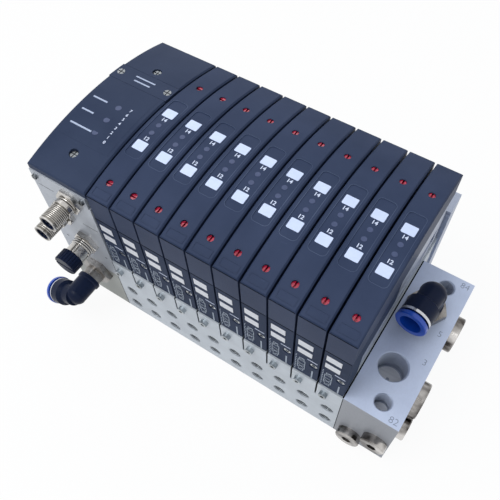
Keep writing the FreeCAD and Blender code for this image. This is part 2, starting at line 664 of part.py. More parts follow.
def elbow_body(seat, out, outlet, stem, body_radius, outlet_radius, outlet_length, tube_radius):
    """Swivelling elbow: a domed barrel on the stem and a wider outlet barrel across it."""
    hex_length, collar_length, neck_radius, height = stem
    collar_end = hex_length + collar_length
    foot = collar_end + ELBOW_SWIVEL_GAP
    rim = body_radius + ELBOW_RIM_STEP
    rim_end = foot + ELBOW_RIM_LENGTH
    barrel_start = rim_end + ELBOW_RIM_STEP
    crown = Part.Arc(
        vec(body_radius, 0, height),
        vec(body_radius * math.cos(math.pi / 4), 0, height + ELBOW_CROWN * math.sin(math.pi / 4)),
        vec(0, 0, height + ELBOW_CROWN)).toShape()
    outline = Part.Wire([
        Part.makeLine(vec(0, 0, foot), vec(rim, 0, foot)),
        Part.makeLine(vec(rim, 0, foot), vec(rim, 0, rim_end)),
        Part.makeLine(vec(rim, 0, rim_end), vec(body_radius, 0, barrel_start)),
        Part.makeLine(vec(body_radius, 0, barrel_start), vec(body_radius, 0, height)),
        crown,
        Part.makeLine(vec(0, 0, height + ELBOW_CROWN), vec(0, 0, foot)),
    ])
    barrel = Part.Face(outline).revolve(vec(0, 0, 0), Z_AXIS, 360)
    barrel.Placement = FreeCAD.Placement(seat, FreeCAD.Rotation(Z_AXIS, out))
    centre = seat + out * height
    branch = revolved(
        [
            (0, 0),
            (body_radius - RING_COLLAR_EDGE, 0),
            (body_radius - RING_COLLAR_EDGE, ELBOW_SHOULDER),
            (outlet_radius, ELBOW_SHOULDER + ELBOW_SHOULDER_RISE),
            (outlet_radius, outlet_length),
            (0, outlet_length),
        ],
        centre, outlet)
    shape = barrel.fuse(branch).removeSplitter()
    end = centre + outlet * outlet_length
    neck_room = ELBOW_NECK_REACH + ELBOW_SWIVEL_GAP
    shape = shape.cut(rod(neck_radius + ELBOW_NECK_CLEARANCE, neck_room, seat + out * collar_end, out))
    passage = neck_radius - STEM_BORE_STEP
    shape = shape.cut(rod(passage, height - collar_end, seat + out * collar_end, out))
    shape = shape.cut(rod(tube_radius - TUBE_STOP_RADIUS_STEP, outlet_length, centre, outlet))
    shape = shape.cut(rod(tube_radius, TUBE_SOCKET_DEPTH, end, -outlet))
    sleeve_seat = tube_radius + RING_BORE_CLEARANCE + RING_SLEEVE_WALL + RING_CLEARANCE
    sleeve_room = RING_SLEEVE_LENGTH + RING_TRAVEL + RING_CLEARANCE
    return shape.cut(rod(sleeve_seat, sleeve_room, end, -outlet))


def release_ring(end, outlet, tube_radius, ring_radius):
    """Ring that is pressed to free the tube: a collar outside and a sleeve inside the outlet."""
    inner = tube_radius + RING_BORE_CLEARANCE
    sleeve = inner + RING_SLEEVE_WALL
    collar = RING_TRAVEL + RING_CLEARANCE
    points = [
        (inner, -RING_SLEEVE_LENGTH),
        (sleeve, -RING_SLEEVE_LENGTH),
        (sleeve, collar),
        (ring_radius, collar),
        (ring_radius, collar + RING_COLLAR - RING_COLLAR_EDGE),
        (ring_radius - RING_COLLAR_EDGE, collar + RING_COLLAR),
        (inner, collar + RING_COLLAR),
    ]
    return revolved(points, end, outlet)


def left_outlet():
    fall = math.radians(LEFT_OUTLET_FALL)
    return vec(-math.cos(fall), 0, -math.sin(fall))


def right_outlet():
    turn = math.radians(RIGHT_OUTLET_TURN)
    return vec(-math.sin(turn), -math.cos(turn), 0)


LEFT_STEM = (LEFT_HEX_LENGTH, LEFT_COLLAR_LENGTH, LEFT_NECK_RADIUS, LEFT_STEM_HEIGHT)
RIGHT_STEM = (RIGHT_HEX_LENGTH, RIGHT_COLLAR_LENGTH, RIGHT_NECK_RADIUS, RIGHT_STEM_HEIGHT)
LIP_BOTTOM = TOP + COVER_FRONT_HEIGHT - BUS_LIP_HEIGHT
PLATE_TOP = LIP_BOTTOM - PLATE_TOP_GAP
PLATE_BACK = FRONT + PLATE_THICKNESS
ADDRESS_MIDDLE = VALVE_FRONT + (ADDRESS_COVER_FRONT + ADDRESS_COVER_REAR) / 2
BUS_MIDDLE = LEFT_END + BUS_WIDTH / 2


def connector_places():
    """Centres of the three round connectors on the plate's front."""
    return [
        vec(LEFT_END + BUS_IN_X, FRONT, PLATE_TOP - BUS_IN_DROP),
        vec(LEFT_END + BUS_OUT_X, FRONT, PLATE_TOP - BUS_OUT_DROP),
        vec(LEFT_END + POWER_X, FRONT, PLATE_TOP - POWER_DROP),
    ]


def address_screw_places():
    """Tops of the two address cover screw seats, on the arched surface."""
    places = []
    for x in (LEFT_END + ADDRESS_SCREW_INSET, LEFT_END + BUS_WIDTH - ADDRESS_SCREW_INSET):
        places.append(vec(x, ADDRESS_MIDDLE, cover_height(ADDRESS_MIDDLE)))
    return places


def bus_screw_places():
    """Seats of the two housing screws, at the bottom of their pockets."""
    places = []
    for y in (VALVE_FRONT + BUS_SCREW_FRONT_Y, VALVE_FRONT + BUS_SCREW_REAR_Y):
        places.append(vec(BUS_MIDDLE, y, cover_height(y) - BUS_SCREW_POCKET_DEPTH))
    return places


def plate_screw_places():
    """Seats of the two connector plate screws."""
    height = PLATE_TOP - PLATE_SCREW_DROP
    return [
        vec(LEFT_END + PLATE_SCREW_INSET_X, FRONT, height),
        vec(LEFT_END + BUS_WIDTH - PLATE_SCREW_INSET_X, FRONT, height),
    ]


def dial_places():
    """Centres of the two address dials, on the floor of their pocket."""
    floor = cover_height(ADDRESS_MIDDLE) - ADDRESS_COVER_THICKNESS - ADDRESS_POCKET_DEPTH
    return [
        vec(BUS_MIDDLE - DIAL_SPACING / 2, ADDRESS_MIDDLE, floor),
        vec(BUS_MIDDLE + DIAL_SPACING / 2, ADDRESS_MIDDLE, floor),
    ]


def address_strip(y0, y1, drop):
    """The arched slice of the bus module that the address cover takes up."""
    whole = arched_body(LEFT_END, LEFT_END + BUS_WIDTH, y0, y1, LIP_BOTTOM)
    below = arched_body(LEFT_END, LEFT_END + BUS_WIDTH, y0, y1, LIP_BOTTOM, drop)
    return whole.cut(below)


def bus_housing():
    """Housing of the bus module: the covers' arch at full width, a front rebate and address pocket."""
    right = LEFT_END + BUS_WIDTH
    shape = arched_body(LEFT_END, right, VALVE_FRONT, VALVE_BACK, TOP)
    shape = soften_top(shape, COVER_EDGE)
    shape = shape.cut(block(LEFT_END, right, VALVE_FRONT, PLATE_BACK, TOP, LIP_BOTTOM))
    strip = address_strip(
        VALVE_FRONT + ADDRESS_COVER_FRONT, VALVE_FRONT + ADDRESS_COVER_REAR, ADDRESS_COVER_THICKNESS)
    shape = shape.cut(strip)
    pocket_floor = dial_places()[0].z
    pocket = block(
        LEFT_END + ADDRESS_POCKET_END, right - ADDRESS_POCKET_END,
        VALVE_FRONT + ADDRESS_COVER_FRONT + BUS_WALL, VALVE_FRONT + ADDRESS_COVER_REAR - BUS_WALL,
        pocket_floor, TOP + COVER_CREST_HEIGHT)
    shape = shape.cut(pocket)
    for place in dial_places():
        shape = shape.cut(rod(DIAL_RADIUS + DIAL_CLEARANCE, DIAL_SEAT_DEPTH, place, -Z_AXIS))
    for place in address_screw_places():
        seat = place - Z_AXIS * (CROSS_HEAD_SHANK_LENGTH + CROSS_HEAD_HEIGHT)
        shape = shape.cut(rod(CROSS_HEAD_SHANK_RADIUS, CROSS_HEAD_SHANK_LENGTH, seat, Z_AXIS))
    for place in bus_screw_places():
        reach = BUS_SCREW_POCKET_DEPTH + COVER_EDGE
        shape = shape.cut(rod(BUS_SCREW_POCKET_RADIUS, reach, place, Z_AXIS))
        shape = shape.cut(rod(CROSS_HEAD_SHANK_RADIUS, CROSS_HEAD_SHANK_LENGTH, place, -Z_AXIS))
    for place in plate_screw_places():
        seat = vec(place.x, PLATE_BACK, place.z)
        reach = CROSS_HEAD_SHANK_LENGTH - PLATE_THICKNESS
        shape = shape.cut(rod(CROSS_HEAD_SHANK_RADIUS, reach, seat, Y_AXIS))
    for place in connector_places():
        seat = vec(place.x, PLATE_BACK, place.z)
        room = CONNECTOR_COLLAR_RADIUS + CONNECTOR_CLEARANCE
        shape = shape.cut(rod(room, CONNECTOR_COLLAR_LENGTH + CONNECTOR_TAIL_LENGTH, seat, Y_AXIS))
    for y in BUS_LENS_Y:
        shape = shape.cut(bus_lens(y, COVER_EDGE))
    return shape


def address_cover():
    """Arched lid over the address dials."""
    shape = address_strip(
        VALVE_FRONT + ADDRESS_COVER_FRONT + ADDRESS_COVER_GAP,
        VALVE_FRONT + ADDRESS_COVER_REAR - ADDRESS_COVER_GAP, ADDRESS_COVER_THICKNESS)
    for place in address_screw_places():
        seat = place - Z_AXIS * CROSS_HEAD_HEIGHT
        shape = shape.cut(rod(CROSS_HEAD_RADIUS, CROSS_HEAD_HEIGHT + COVER_EDGE, seat, Z_AXIS))
        shape = shape.cut(rod(CROSS_HEAD_SHANK_RADIUS, ADDRESS_COVER_THICKNESS, seat, -Z_AXIS))
    return shape


def address_dial(place):
    """Slotted rotary dial in its round seat."""
    floor = place - Z_AXIS * (DIAL_SEAT_DEPTH - DIAL_CLEARANCE)
    top = floor.z + DIAL_HEIGHT
    slot = block(
        place.x - DIAL_RADIUS, place.x + DIAL_RADIUS,
        place.y - DIAL_SLOT_WIDTH / 2, place.y + DIAL_SLOT_WIDTH / 2, top - DIAL_SLOT_DEPTH, top)
    return rod(DIAL_RADIUS, DIAL_HEIGHT, floor, Z_AXIS).cut(slot)


def cross_head_screw(seat, out, radius):
    """Cross-head screw whose head stands on the seat."""
    head = rod(radius, CROSS_HEAD_HEIGHT, seat, out)
    shank = rod(CROSS_HEAD_SHANK_RADIUS, CROSS_HEAD_SHANK_LENGTH, seat, -out)
    top = seat + out * CROSS_HEAD_HEIGHT
    turn = FreeCAD.Rotation(Z_AXIS, out)
    shape = head.fuse(shank)
    for long_x, long_y in ((radius, CROSS_HEAD_SLOT / 2), (CROSS_HEAD_SLOT / 2, radius)):
        slot = block(-long_x, long_x, -long_y, long_y, -CROSS_HEAD_SLOT_DEPTH, 0)
        slot.Placement = FreeCAD.Placement(top, turn)
        shape = shape.cut(slot)
    return shape


def bus_lens(y, extra):
    x = BUS_MIDDLE + BUS_LENS_X
    place = VALVE_FRONT + y
    floor = cover_height(place) - LENS_HEIGHT
    return rod(BUS_LENS_RADIUS, LENS_HEIGHT + LENS_PROUD + extra, vec(x, place, floor), Z_AXIS)


def status_lenses():
    """All the indicator lenses: two on each valve and three on the bus module."""
    lenses = []
    for index in range(VALVE_COUNT):
        for y in (VALVE_FRONT + FRONT_LENS_Y, VALVE_FRONT + REAR_LENS_Y):
            floor = vec(station_x(index), y, lens_floor(y, WINDOW_RECESS))
            lenses.append(rod(LENS_RADIUS, LENS_HEIGHT + LENS_PROUD, floor, Z_AXIS))
    for y in BUS_LENS_Y:
        lenses.append(bus_lens(y, 0))
    return lenses


def connector_plate():
    """Front plate of the bus module, stepped along its right edge, with three connector holes."""
    step_height = TOP + PLATE_STEP_HEIGHT
    shape = block(LEFT_END, ROW_LEFT, FRONT, PLATE_BACK, PLATE_BOTTOM, step_height)
    upper = block(LEFT_END, ROW_LEFT - PLATE_STEP, FRONT, PLATE_BACK, step_height, PLATE_TOP)
    shape = shape.fuse(upper).removeSplitter()
    for place in connector_places():
        shape = shape.cut(rod(connector_hole(place), PLATE_THICKNESS, place, Y_AXIS))
    for place in plate_screw_places():
        shape = shape.cut(rod(CROSS_HEAD_SHANK_RADIUS, PLATE_THICKNESS, place, Y_AXIS))
    notch = SUPPLY_THREAD_RADIUS + PLATE_PORT_CLEARANCE
    return shape.cut(rod(notch, PLATE_THICKNESS, SUPPLY_CENTRE, Y_AXIS))


def connector_hole(place):
    """Radius of the plate's hole for the connector at a place."""
    if place == connector_places()[2]:
        return POWER_SLEEVE_RADIUS + CONNECTOR_CLEARANCE
    return CONNECTOR_RADIUS + CONNECTOR_CLEARANCE


def bus_connector(place):
    """Round connector: an open barrel in front of the plate, a collar and tail behind it."""
    inner = CONNECTOR_RADIUS - CONNECTOR_WALL
    back = PLATE_THICKNESS + CONNECTOR_COLLAR_LENGTH
    points = [
        (inner, -CONNECTOR_LENGTH),
        (CONNECTOR_RADIUS, -CONNECTOR_LENGTH),
        (CONNECTOR_RADIUS, PLATE_THICKNESS),
        (CONNECTOR_COLLAR_RADIUS, PLATE_THICKNESS),
        (CONNECTOR_COLLAR_RADIUS, back),
        (CONNECTOR_RADIUS, back),
        (CONNECTOR_RADIUS, back + CONNECTOR_TAIL_LENGTH),
        (inner, back + CONNECTOR_TAIL_LENGTH),
    ]
    return revolved(points, place, Y_AXIS)


def power_connector(place):
    """Larger connector with a smooth sleeve up to its dust cap."""
    inner = CONNECTOR_RADIUS - CONNECTOR_WALL
    back = PLATE_THICKNESS + CONNECTOR_COLLAR_LENGTH
    points = [
        (inner, -POWER_CONNECTOR_LENGTH),
        (CONNECTOR_RADIUS, -POWER_CONNECTOR_LENGTH),
        (CONNECTOR_RADIUS, -POWER_SLEEVE_LENGTH),
        (POWER_SLEEVE_RADIUS, -POWER_SLEEVE_LENGTH),
        (POWER_SLEEVE_RADIUS, PLATE_THICKNESS),
        (CONNECTOR_COLLAR_RADIUS, PLATE_THICKNESS),
        (CONNECTOR_COLLAR_RADIUS, back),
        (CONNECTOR_RADIUS, back),
        (CONNECTOR_RADIUS, back + CONNECTOR_TAIL_LENGTH),
        (inner, back + CONNECTOR_TAIL_LENGTH),
    ]
    return revolved(points, place, Y_AXIS)


def connector_nut(place, barrel_radius):
    nut = chamfered_hexagon(NUT_ACROSS_FLATS, NUT_LENGTH, place, -Y_AXIS)
    return nut.cut(rod(barrel_radius, NUT_LENGTH, place, -Y_AXIS))


def contact_insert(place, length):
    """Insulating insert inside a connector, with four contact pins."""
    radius = CONNECTOR_RADIUS - CONNECTOR_WALL
    face = place - Y_AXIS * (length - INSERT_RECESS)
    depth = length - INSERT_RECESS + PLATE_THICKNESS + CONNECTOR_COLLAR_LENGTH + CONNECTOR_TAIL_LENGTH
    shape = rod(radius, depth, face, Y_AXIS)
    for side_x, side_z in ((-1, 0), (1, 0), (0, -1), (0, 1)):
        pin = face + X_AXIS * (side_x * PIN_SPREAD) + Z_AXIS * (side_z * PIN_SPREAD)
        shape = shape.fuse(rod(PIN_RADIUS, PIN_LENGTH, pin, -Y_AXIS))
    return shape


def dust_cap(place):
    """Knurled screw cap over the power connector, with a slot across its end."""
    end = POWER_CONNECTOR_LENGTH + CAP_CLEARANCE
    inner = CONNECTOR_RADIUS + CAP_CLEARANCE
    points = [
        (inner, -end - CAP_END + CAP_LENGTH),
        (CAP_RADIUS, -end - CAP_END + CAP_LENGTH),
        (CAP_RADIUS, -end - CAP_END + CAP_FLUTE_RADIUS),
        (CAP_RADIUS - CAP_FLUTE_RADIUS, -end - CAP_END),
        (0, -end - CAP_END),
        (0, -end),
        (inner, -end),
    ]
    shape = revolved(points, place, Y_AXIS)
    front = place - Y_AXIS * (end + CAP_END)
    flutes = []
    for step in range(CAP_FLUTE_COUNT):
        angle = 2 * math.pi * step / CAP_FLUTE_COUNT
        centre = front + X_AXIS * (CAP_RADIUS * math.cos(angle)) + Z_AXIS * (CAP_RADIUS * math.sin(angle))
        flutes.append(rod(CAP_FLUTE_RADIUS, CAP_LENGTH, centre, Y_AXIS))
    shape = shape.cut(Part.makeCompound(flutes))
    slot = block(
        place.x - CAP_RADIUS, place.x + CAP_RADIUS, front.y, front.y + CAP_SLOT_DEPTH,
        place.z - CAP_SLOT_WIDTH / 2, place.z + CAP_SLOT_WIDTH / 2)
    return shape.cut(slot)


def wiring_duct():
    """Closed aluminium wiring duct along the back, with a lid line round its top."""
    left = LEFT_END + BUS_WIDTH - DUCT_OVERHANG
    right = ROW_RIGHT + DUCT_OVERHANG
    shape = block(left, right, BACK, BACK + DUCT_DEPTH, DUCT_FOOT, DUCT_TOP)
    seam = DUCT_TOP - DUCT_LID
    groove = block(left, right, BACK, BACK + DUCT_DEPTH, seam - DUCT_GROOVE, seam)
    core = block(
        left + DUCT_GROOVE, right - DUCT_GROOVE, BACK + DUCT_GROOVE, BACK + DUCT_DEPTH - DUCT_GROOVE,
        seam - DUCT_GROOVE, seam)
    return shape.cut(groove.cut(core))


def export(name, shapes):
    """Writes one piece, or a group of like pieces, as one file."""
    shape = shapes[0] if len(shapes) == 1 else Part.makeCompound(shapes)
    shape.exportStep("parts/" + name + ".step")


def elbow_outlet_end(seat, out, outlet, height, length):
    return seat + out * height + outlet * length


def build():
    os.makedirs("parts", exist_ok=True)
    stations = range(VALVE_COUNT)
    for index in stations:
        label = "%02d" % (index + 1)
        export("valve_cover_" + label, [valve_cover(index)])
        export("override_12_" + label, [override_screw(index, VALVE_FRONT + FRONT_OVERRIDE_Y)])
        export("override_14_" + label, [override_screw(index, VALVE_FRONT + REAR_OVERRIDE_Y)])
    export("valve_front_caps", [front_cap(index) for index in stations])
    export("valve_bodies", [valve_body(index) for index in stations])
    export("valve_screws", [valve_screw(index) for index in stations])
    export("spools", [spool(index) for index in stations])
    export("valve_gaskets", [gasket(index) for index in stations])
    export("status_lenses", status_lenses())
    export("manifold_block", [manifold_block()])
    export("manifold_screws", [manifold_screw(index) for index in stations])
    export("left_end_block", [left_end_block()])
    export("port_end_plate", [port_end_plate()])
    export("port_plugs", [port_plug(*place) for place in plug_places()])
    export("bus_housing", [bus_housing()])
    export("address_cover", [address_cover()])
    for number, place in enumerate(dial_places()):
        export("address_dial_%d" % (number + 1), [address_dial(place)])
    screws = []
    for place in address_screw_places():
        screws.append(cross_head_screw(place - Z_AXIS * CROSS_HEAD_HEIGHT, Z_AXIS, CROSS_HEAD_RADIUS))
    for place in bus_screw_places():
        screws.append(cross_head_screw(place, Z_AXIS, CROSS_HEAD_RADIUS))
    for place in plate_screw_places():
        screws.append(cross_head_screw(place, -Y_AXIS, PLATE_SCREW_HEAD_RADIUS))
    export("housing_screws", screws)
    export("connector_plate", [connector_plate()])
    bus_in, bus_out, power = connector_places()
    export("bus_in_connector", [bus_connector(bus_in)])
    export("bus_out_connector", [bus_connector(bus_out)])
    export("power_connector", [power_connector(power)])
    export("connector_nuts", [
        connector_nut(bus_in, CONNECTOR_RADIUS),
        connector_nut(bus_out, CONNECTOR_RADIUS),
        connector_nut(power, POWER_SLEEVE_RADIUS),
    ])
    export("contact_inserts", [
        contact_insert(bus_in, CONNECTOR_LENGTH),
        contact_insert(bus_out, CONNECTOR_LENGTH),
        contact_insert(power, POWER_CONNECTOR_LENGTH),
    ])
    export("dust_cap", [dust_cap(power)])
    export("left_elbow_stem", [
        elbow_stem(SUPPLY_CENTRE, -Y_AXIS, SUPPLY_THREAD_RADIUS, LEFT_HEX_ACROSS, LEFT_STEM)])
    export("left_elbow_body", [elbow_body(
        SUPPLY_CENTRE, -Y_AXIS, left_outlet(), LEFT_STEM, LEFT_BODY_RADIUS, LEFT_OUTLET_RADIUS,
        LEFT_OUTLET_LENGTH, LEFT_TUBE_RADIUS)])
    left_end = elbow_outlet_end(
        SUPPLY_CENTRE, -Y_AXIS, left_outlet(), LEFT_STEM_HEIGHT, LEFT_OUTLET_LENGTH)
    export("left_release_ring", [release_ring(left_end, left_outlet(), LEFT_TUBE_RADIUS, LEFT_RING_RADIUS)])
    export("right_elbow_stem", [
        elbow_stem(PORT_5, Z_AXIS, MAIN_PORT_RADIUS, RIGHT_HEX_ACROSS, RIGHT_STEM)])
    export("right_elbow_body", [elbow_body(
        PORT_5, Z_AXIS, right_outlet(), RIGHT_STEM, RIGHT_BODY_RADIUS, RIGHT_OUTLET_RADIUS,
        RIGHT_OUTLET_LENGTH, RIGHT_TUBE_RADIUS)])
    right_end = elbow_outlet_end(PORT_5, Z_AXIS, right_outlet(), RIGHT_STEM_HEIGHT, RIGHT_OUTLET_LENGTH)
    export("right_release_ring", [
        release_ring(right_end, right_outlet(), RIGHT_TUBE_RADIUS, RIGHT_RING_RADIUS)])
    export("wiring_duct", [wiring_duct()])


build()
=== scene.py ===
import json
import math
import bpy
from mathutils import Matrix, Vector


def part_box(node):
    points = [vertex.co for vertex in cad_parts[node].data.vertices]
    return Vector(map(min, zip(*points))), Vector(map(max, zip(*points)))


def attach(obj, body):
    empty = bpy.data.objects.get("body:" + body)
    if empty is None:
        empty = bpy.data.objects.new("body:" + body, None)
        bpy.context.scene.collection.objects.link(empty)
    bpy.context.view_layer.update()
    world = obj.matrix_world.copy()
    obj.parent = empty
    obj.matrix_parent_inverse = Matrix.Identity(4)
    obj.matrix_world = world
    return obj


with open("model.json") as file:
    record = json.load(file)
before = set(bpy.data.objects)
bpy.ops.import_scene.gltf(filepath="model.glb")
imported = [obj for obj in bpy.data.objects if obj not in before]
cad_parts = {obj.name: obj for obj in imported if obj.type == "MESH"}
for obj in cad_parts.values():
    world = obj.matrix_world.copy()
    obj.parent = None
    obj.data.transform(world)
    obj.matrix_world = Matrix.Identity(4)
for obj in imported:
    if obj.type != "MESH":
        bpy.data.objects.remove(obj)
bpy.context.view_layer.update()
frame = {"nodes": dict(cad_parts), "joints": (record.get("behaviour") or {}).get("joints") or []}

nodes = frame["nodes"]
MM = 0.001

# The camera looks down on the island from its front right corner, as a person at a bench does.
# It keeps the photograph's angle and lens.
CAMERA_PLACE = (0.11935, -0.19011, 0.41500)
CAMERA_TURN = (0.54721, 0.02070, 0.57641)
CAMERA_LENS = 43.35
CAMERA_SHIFT = (-0.00733, 0.01733)
CAMERA_NEAR = 10 * MM
bpy.ops.object.camera_add(location=CAMERA_PLACE, rotation=CAMERA_TURN)
camera = bpy.context.object
camera.name = "bench_camera"
camera.data.lens = CAMERA_LENS
camera.data.shift_x, camera.data.shift_y = CAMERA_SHIFT
camera.data.clip_start = CAMERA_NEAR
bpy.context.scene.camera = camera
bpy.context.scene.view_settings.view_transform = "Standard"

# The island stands on a plain pale floor, which the camera sees as almost pure white but for the
# island's shadow. It is the first piece with a finish, so the means of making finishes come here.
FLOOR_SIZE = 6.0
FLOOR_DROP = 0.2 * MM
FLOOR_ROUGHNESS = 0.9
FLOOR_CLOUDS = (3.0, 2.0)
FLOOR_GLOW_SHARE = 0.93
NOISE_MIDDLE = 0.5
WHOLE_RANGE = 0.5


class Socket:
    """An output in a material's nodes. Sums and products of it add Math nodes."""

    def __init__(self, tree, output):
        self.tree = tree
        self.output = output

    def node(self, kind, settings, values, output=0):
        """Adds one node of any kind, with its settings first and then its sockets' values or links."""
        node = self.tree.nodes.new(kind)
        for name, setting in settings.items():
            setattr(node, name, setting)
        for key, value in values.items():
            if isinstance(value, Socket):
                self.tree.links.new(value.output, node.inputs[key])
            else:
                node.inputs[key].default_value = value
        return Socket(self.tree, node.outputs[output])

    def maths(self, operation, *values):
        return self.node("ShaderNodeMath", {"operation": operation}, dict(enumerate(values)))

    def __add__(self, other):
        return self.maths("ADD", self, other)

    def __radd__(self, other):
        return self.maths("ADD", other, self)

    def __sub__(self, other):
        return self.maths("SUBTRACT", self, other)

    def __rsub__(self, other):
        return self.maths("SUBTRACT", other, self)

    def __mul__(self, other):
        return self.maths("MULTIPLY", self, other)

    def __rmul__(self, other):
        return self.maths("MULTIPLY", other, self)

    def tint(self, low, high):
        """A colour that goes from low to high as this value goes from 0 to 1."""
        return self.node("ShaderNodeMix", {"data_type": "RGBA"}, {0: self, 6: low, 7: high}, 2)

    def stretch(self, low, high, to_low=0.0, to_high=1.0):
        """This value with its range from low to high spread over another range."""
        return self.node("ShaderNodeMapRange", {}, {0: self, 1: low, 2: high, 3: to_low, 4: to_high})

    def contrast(self, spread, to_low=0.0, to_high=1.0):
        """This value with only the middle of its range, spread to each side, stretched over another."""
        return self.stretch(NOISE_MIDDLE - spread, NOISE_MIDDLE + spread, to_low, to_high)

    def noise(self, scale, detail=2.0):
        """Cloudy values at this place, with about this many blotches in a metre."""
        return self.node("ShaderNodeTexNoise", {}, {"Vector": self, "Scale": scale, "Detail": detail})

    def scaled(self, factors):
        """This place stretched along the three axes, for grain that runs one way."""
        return self.node("ShaderNodeMapping", {}, {"Vector": self, "Scale": factors})

    def along(self, axis):
        """One coordinate of this place."""
        return self.node("ShaderNodeSeparateXYZ", {}, {0: self}, axis)


def paint(red, green, blue):
    """The linear colour for the red, green and blue that the eye sees, from 0 to 255."""
    linear = [((value / 255 + 0.055) / 1.055) ** 2.4 for value in (red, green, blue)]
    return (*linear, 1.0)


def new_material(name, roughness, metallic=0.0, coat=0.0, gloss=0.5):
    """A material with its shader's fixed values set, and the place on the object that its nodes read."""
    material = bpy.data.materials.new(name)
    material.use_nodes = True
    shader = material.node_tree.nodes["Principled BSDF"]
    shader.inputs["Roughness"].default_value = roughness
    shader.inputs["Metallic"].default_value = metallic
    shader.inputs["Coat Weight"].default_value = coat
    shader.inputs["Specular IOR Level"].default_value = gloss
    coordinates = material.node_tree.nodes.new("ShaderNodeTexCoord")
    return material, Socket(material.node_tree, coordinates.outputs["Object"])


def connect(material, **sockets):
    """Links values to the shader's sockets, named with underscores for spaces."""
    shader = material.node_tree.nodes["Principled BSDF"]
    for name, socket in sockets.items():
        material.node_tree.links.new(socket.output, shader.inputs[name.replace("_", " ")])


def relief(height, depth):
    """The normal of a surface whose height varies by depth metres."""
    return height.node("ShaderNodeBump", {}, {"Height": height, "Distance": depth})


def smooth_finish(
        name, dark, light, roughness, clouds, spread=WHOLE_RANGE, grain=None, coat=0.0, gloss=0.5):
    """A smooth material, cloudy between two tones. Its grain, if any, has a fineness and a depth."""
    material, place = new_material(name, roughness, coat=coat, gloss=gloss)
    connect(material, Base_Color=place.noise(*clouds).contrast(spread).tint(dark, light))
    if grain:
        fineness, depth = grain
        connect(material, Normal=relief(place.noise(fineness), depth))
    return material


def show_white_to(tree, shaded, glow, output, share):
    """Shows plain white to the camera, and to what mirrors it or lets it through."""
    path = tree.nodes.new("ShaderNodeLightPath")
    seen = Socket(tree, path.outputs["Is Camera Ray"])
    for ray in ("Is Glossy Ray", "Is Transmission Ray"):
        seen = seen.maths("MAXIMUM", seen, Socket(tree, path.outputs[ray]))
    mix = seen.node(
        "ShaderNodeMixShader", {}, {0: seen * share, 1: Socket(tree, shaded), 2: Socket(tree, glow)})
    tree.links.new(mix.output, output)


bpy.ops.mesh.primitive_plane_add(size=FLOOR_SIZE, location=(0, 0, -FLOOR_DROP))
floor = bpy.context.object
floor.name = "studio_floor"
floor_finish = smooth_finish(
    "studio_floor", dark=paint(238, 238, 238), light=paint(242, 242, 242), roughness=FLOOR_ROUGHNESS,
    clouds=FLOOR_CLOUDS)
floor.data.materials.append(floor_finish)
floor_tree = floor_finish.node_tree
floor_glow = floor_tree.nodes.new("ShaderNodeEmission")
show_white_to(
    floor_tree, floor_tree.nodes["Principled BSDF"].outputs[0], floor_glow.outputs[0],
    floor_tree.nodes["Material Output"].inputs["Surface"], FLOOR_GLOW_SHARE)

# The room is brighter overhead than at its walls, so that metal shows light and dark bands. Behind
# the island the camera sees plain white.
PLACE_X, PLACE_Y, PLACE_Z = range(3)
ROOM_WALL = (0.27, 0.27, 0.28, 1)
ROOM_CEILING = (0.90, 0.95, 1.0, 1)
ROOM_FADE = (-0.1, 0.85)
ROOM_LEVEL = 0.74
ROOM_WHITE = (1, 1, 1, 1)
world = bpy.data.worlds.new("studio_room")
world.use_nodes = True
bpy.context.scene.world = world
room = world.node_tree
room_place = Socket(room, room.nodes.new("ShaderNodeTexCoord").outputs["Generated"])
room_colour = room_place.along(PLACE_Z).stretch(*ROOM_FADE).tint(ROOM_WALL, ROOM_CEILING)
room_light = room.nodes["Background"]
room_light.inputs["Strength"].default_value = ROOM_LEVEL
room.links.new(room_colour.output, room_light.inputs["Color"])
room_white = room.nodes.new("ShaderNodeBackground")
room_white.inputs["Color"].default_value = ROOM_WHITE
show_white_to(
    room, room_light.outputs[0], room_white.outputs[0], room.nodes["World Output"].inputs["Surface"], 1.0)

# Two square soft lamps stand over the island, as over a photographer's table. The strong one is at
# its front left, and a weak one fills the shadows from the rear left.
LAMP_AIM = (0, 0, 0.06)


def soft_lamp(name, place, size, power):
    """A square soft lamp that faces the middle of the island."""
    facing = (Vector(LAMP_AIM) - Vector(place)).to_track_quat("-Z", "Y").to_euler()
    bpy.ops.object.light_add(type="AREA", location=place, rotation=facing)
    lamp = bpy.context.object
    lamp.name = name
    lamp.data.size = size
    lamp.data.energy = power


soft_lamp("soft_lamp_front", place=(-0.35, -0.5, 1.2), size=0.7, power=8.0)
soft_lamp("soft_lamp_rear", place=(-0.75, 0.75, 1.0), size=0.8, power=2.5)

# The manifold is a drilled aluminium bar, milled all round and clear anodised. Two rows of outlets
# are tapped in its front, and their bores are darkened with painted shade in a dark olive tone.
block_low, block_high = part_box("manifold_block")
valve_low, valve_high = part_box("valve_cover_01")
FRONT = block_low.y
TOP = block_high.z
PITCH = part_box("valve_cover_02")[0].x - valve_low.x
VALVE_COUNT = round((block_high.x - block_low.x) / PITCH)
FIRST_X = (valve_low.x + valve_high.x) / 2
VALVE_FRONT = valve_low.y
REARWARDS = (0, 1, 0)
DOWNWARDS = (0, 0, -1)
# Painted shade: bores and slots are darkened towards an olive grey, more the deeper they lie in the box.
RECESS_START = 0.08 * MM
RECESS_DEEP = 1.8 * MM
RECESS_SHADE = 0.9
RECESS_SHADE_TONE = paint(58, 58, 52)
FACE_START = 0.05 * MM
FACE_END = 0.4 * MM
METAL_CLOUDS = (45.0, 4.0)
METAL_DETAIL = 3.0
CLOUD_SHARE = 0.6
METAL_TONES = 0.15
METAL_SHINE_SWING = 0.08
METAL_RELIEF = 0.012 * MM
SCRATCH_STRETCH = (3, 0.4, 0.7)
SCRATCH_BAND = (0.66, 0.72)
SCRATCH_SHINE = 0.08
SCRATCH_HEIGHT = 0.6
WIDE_SPREAD = 0.2


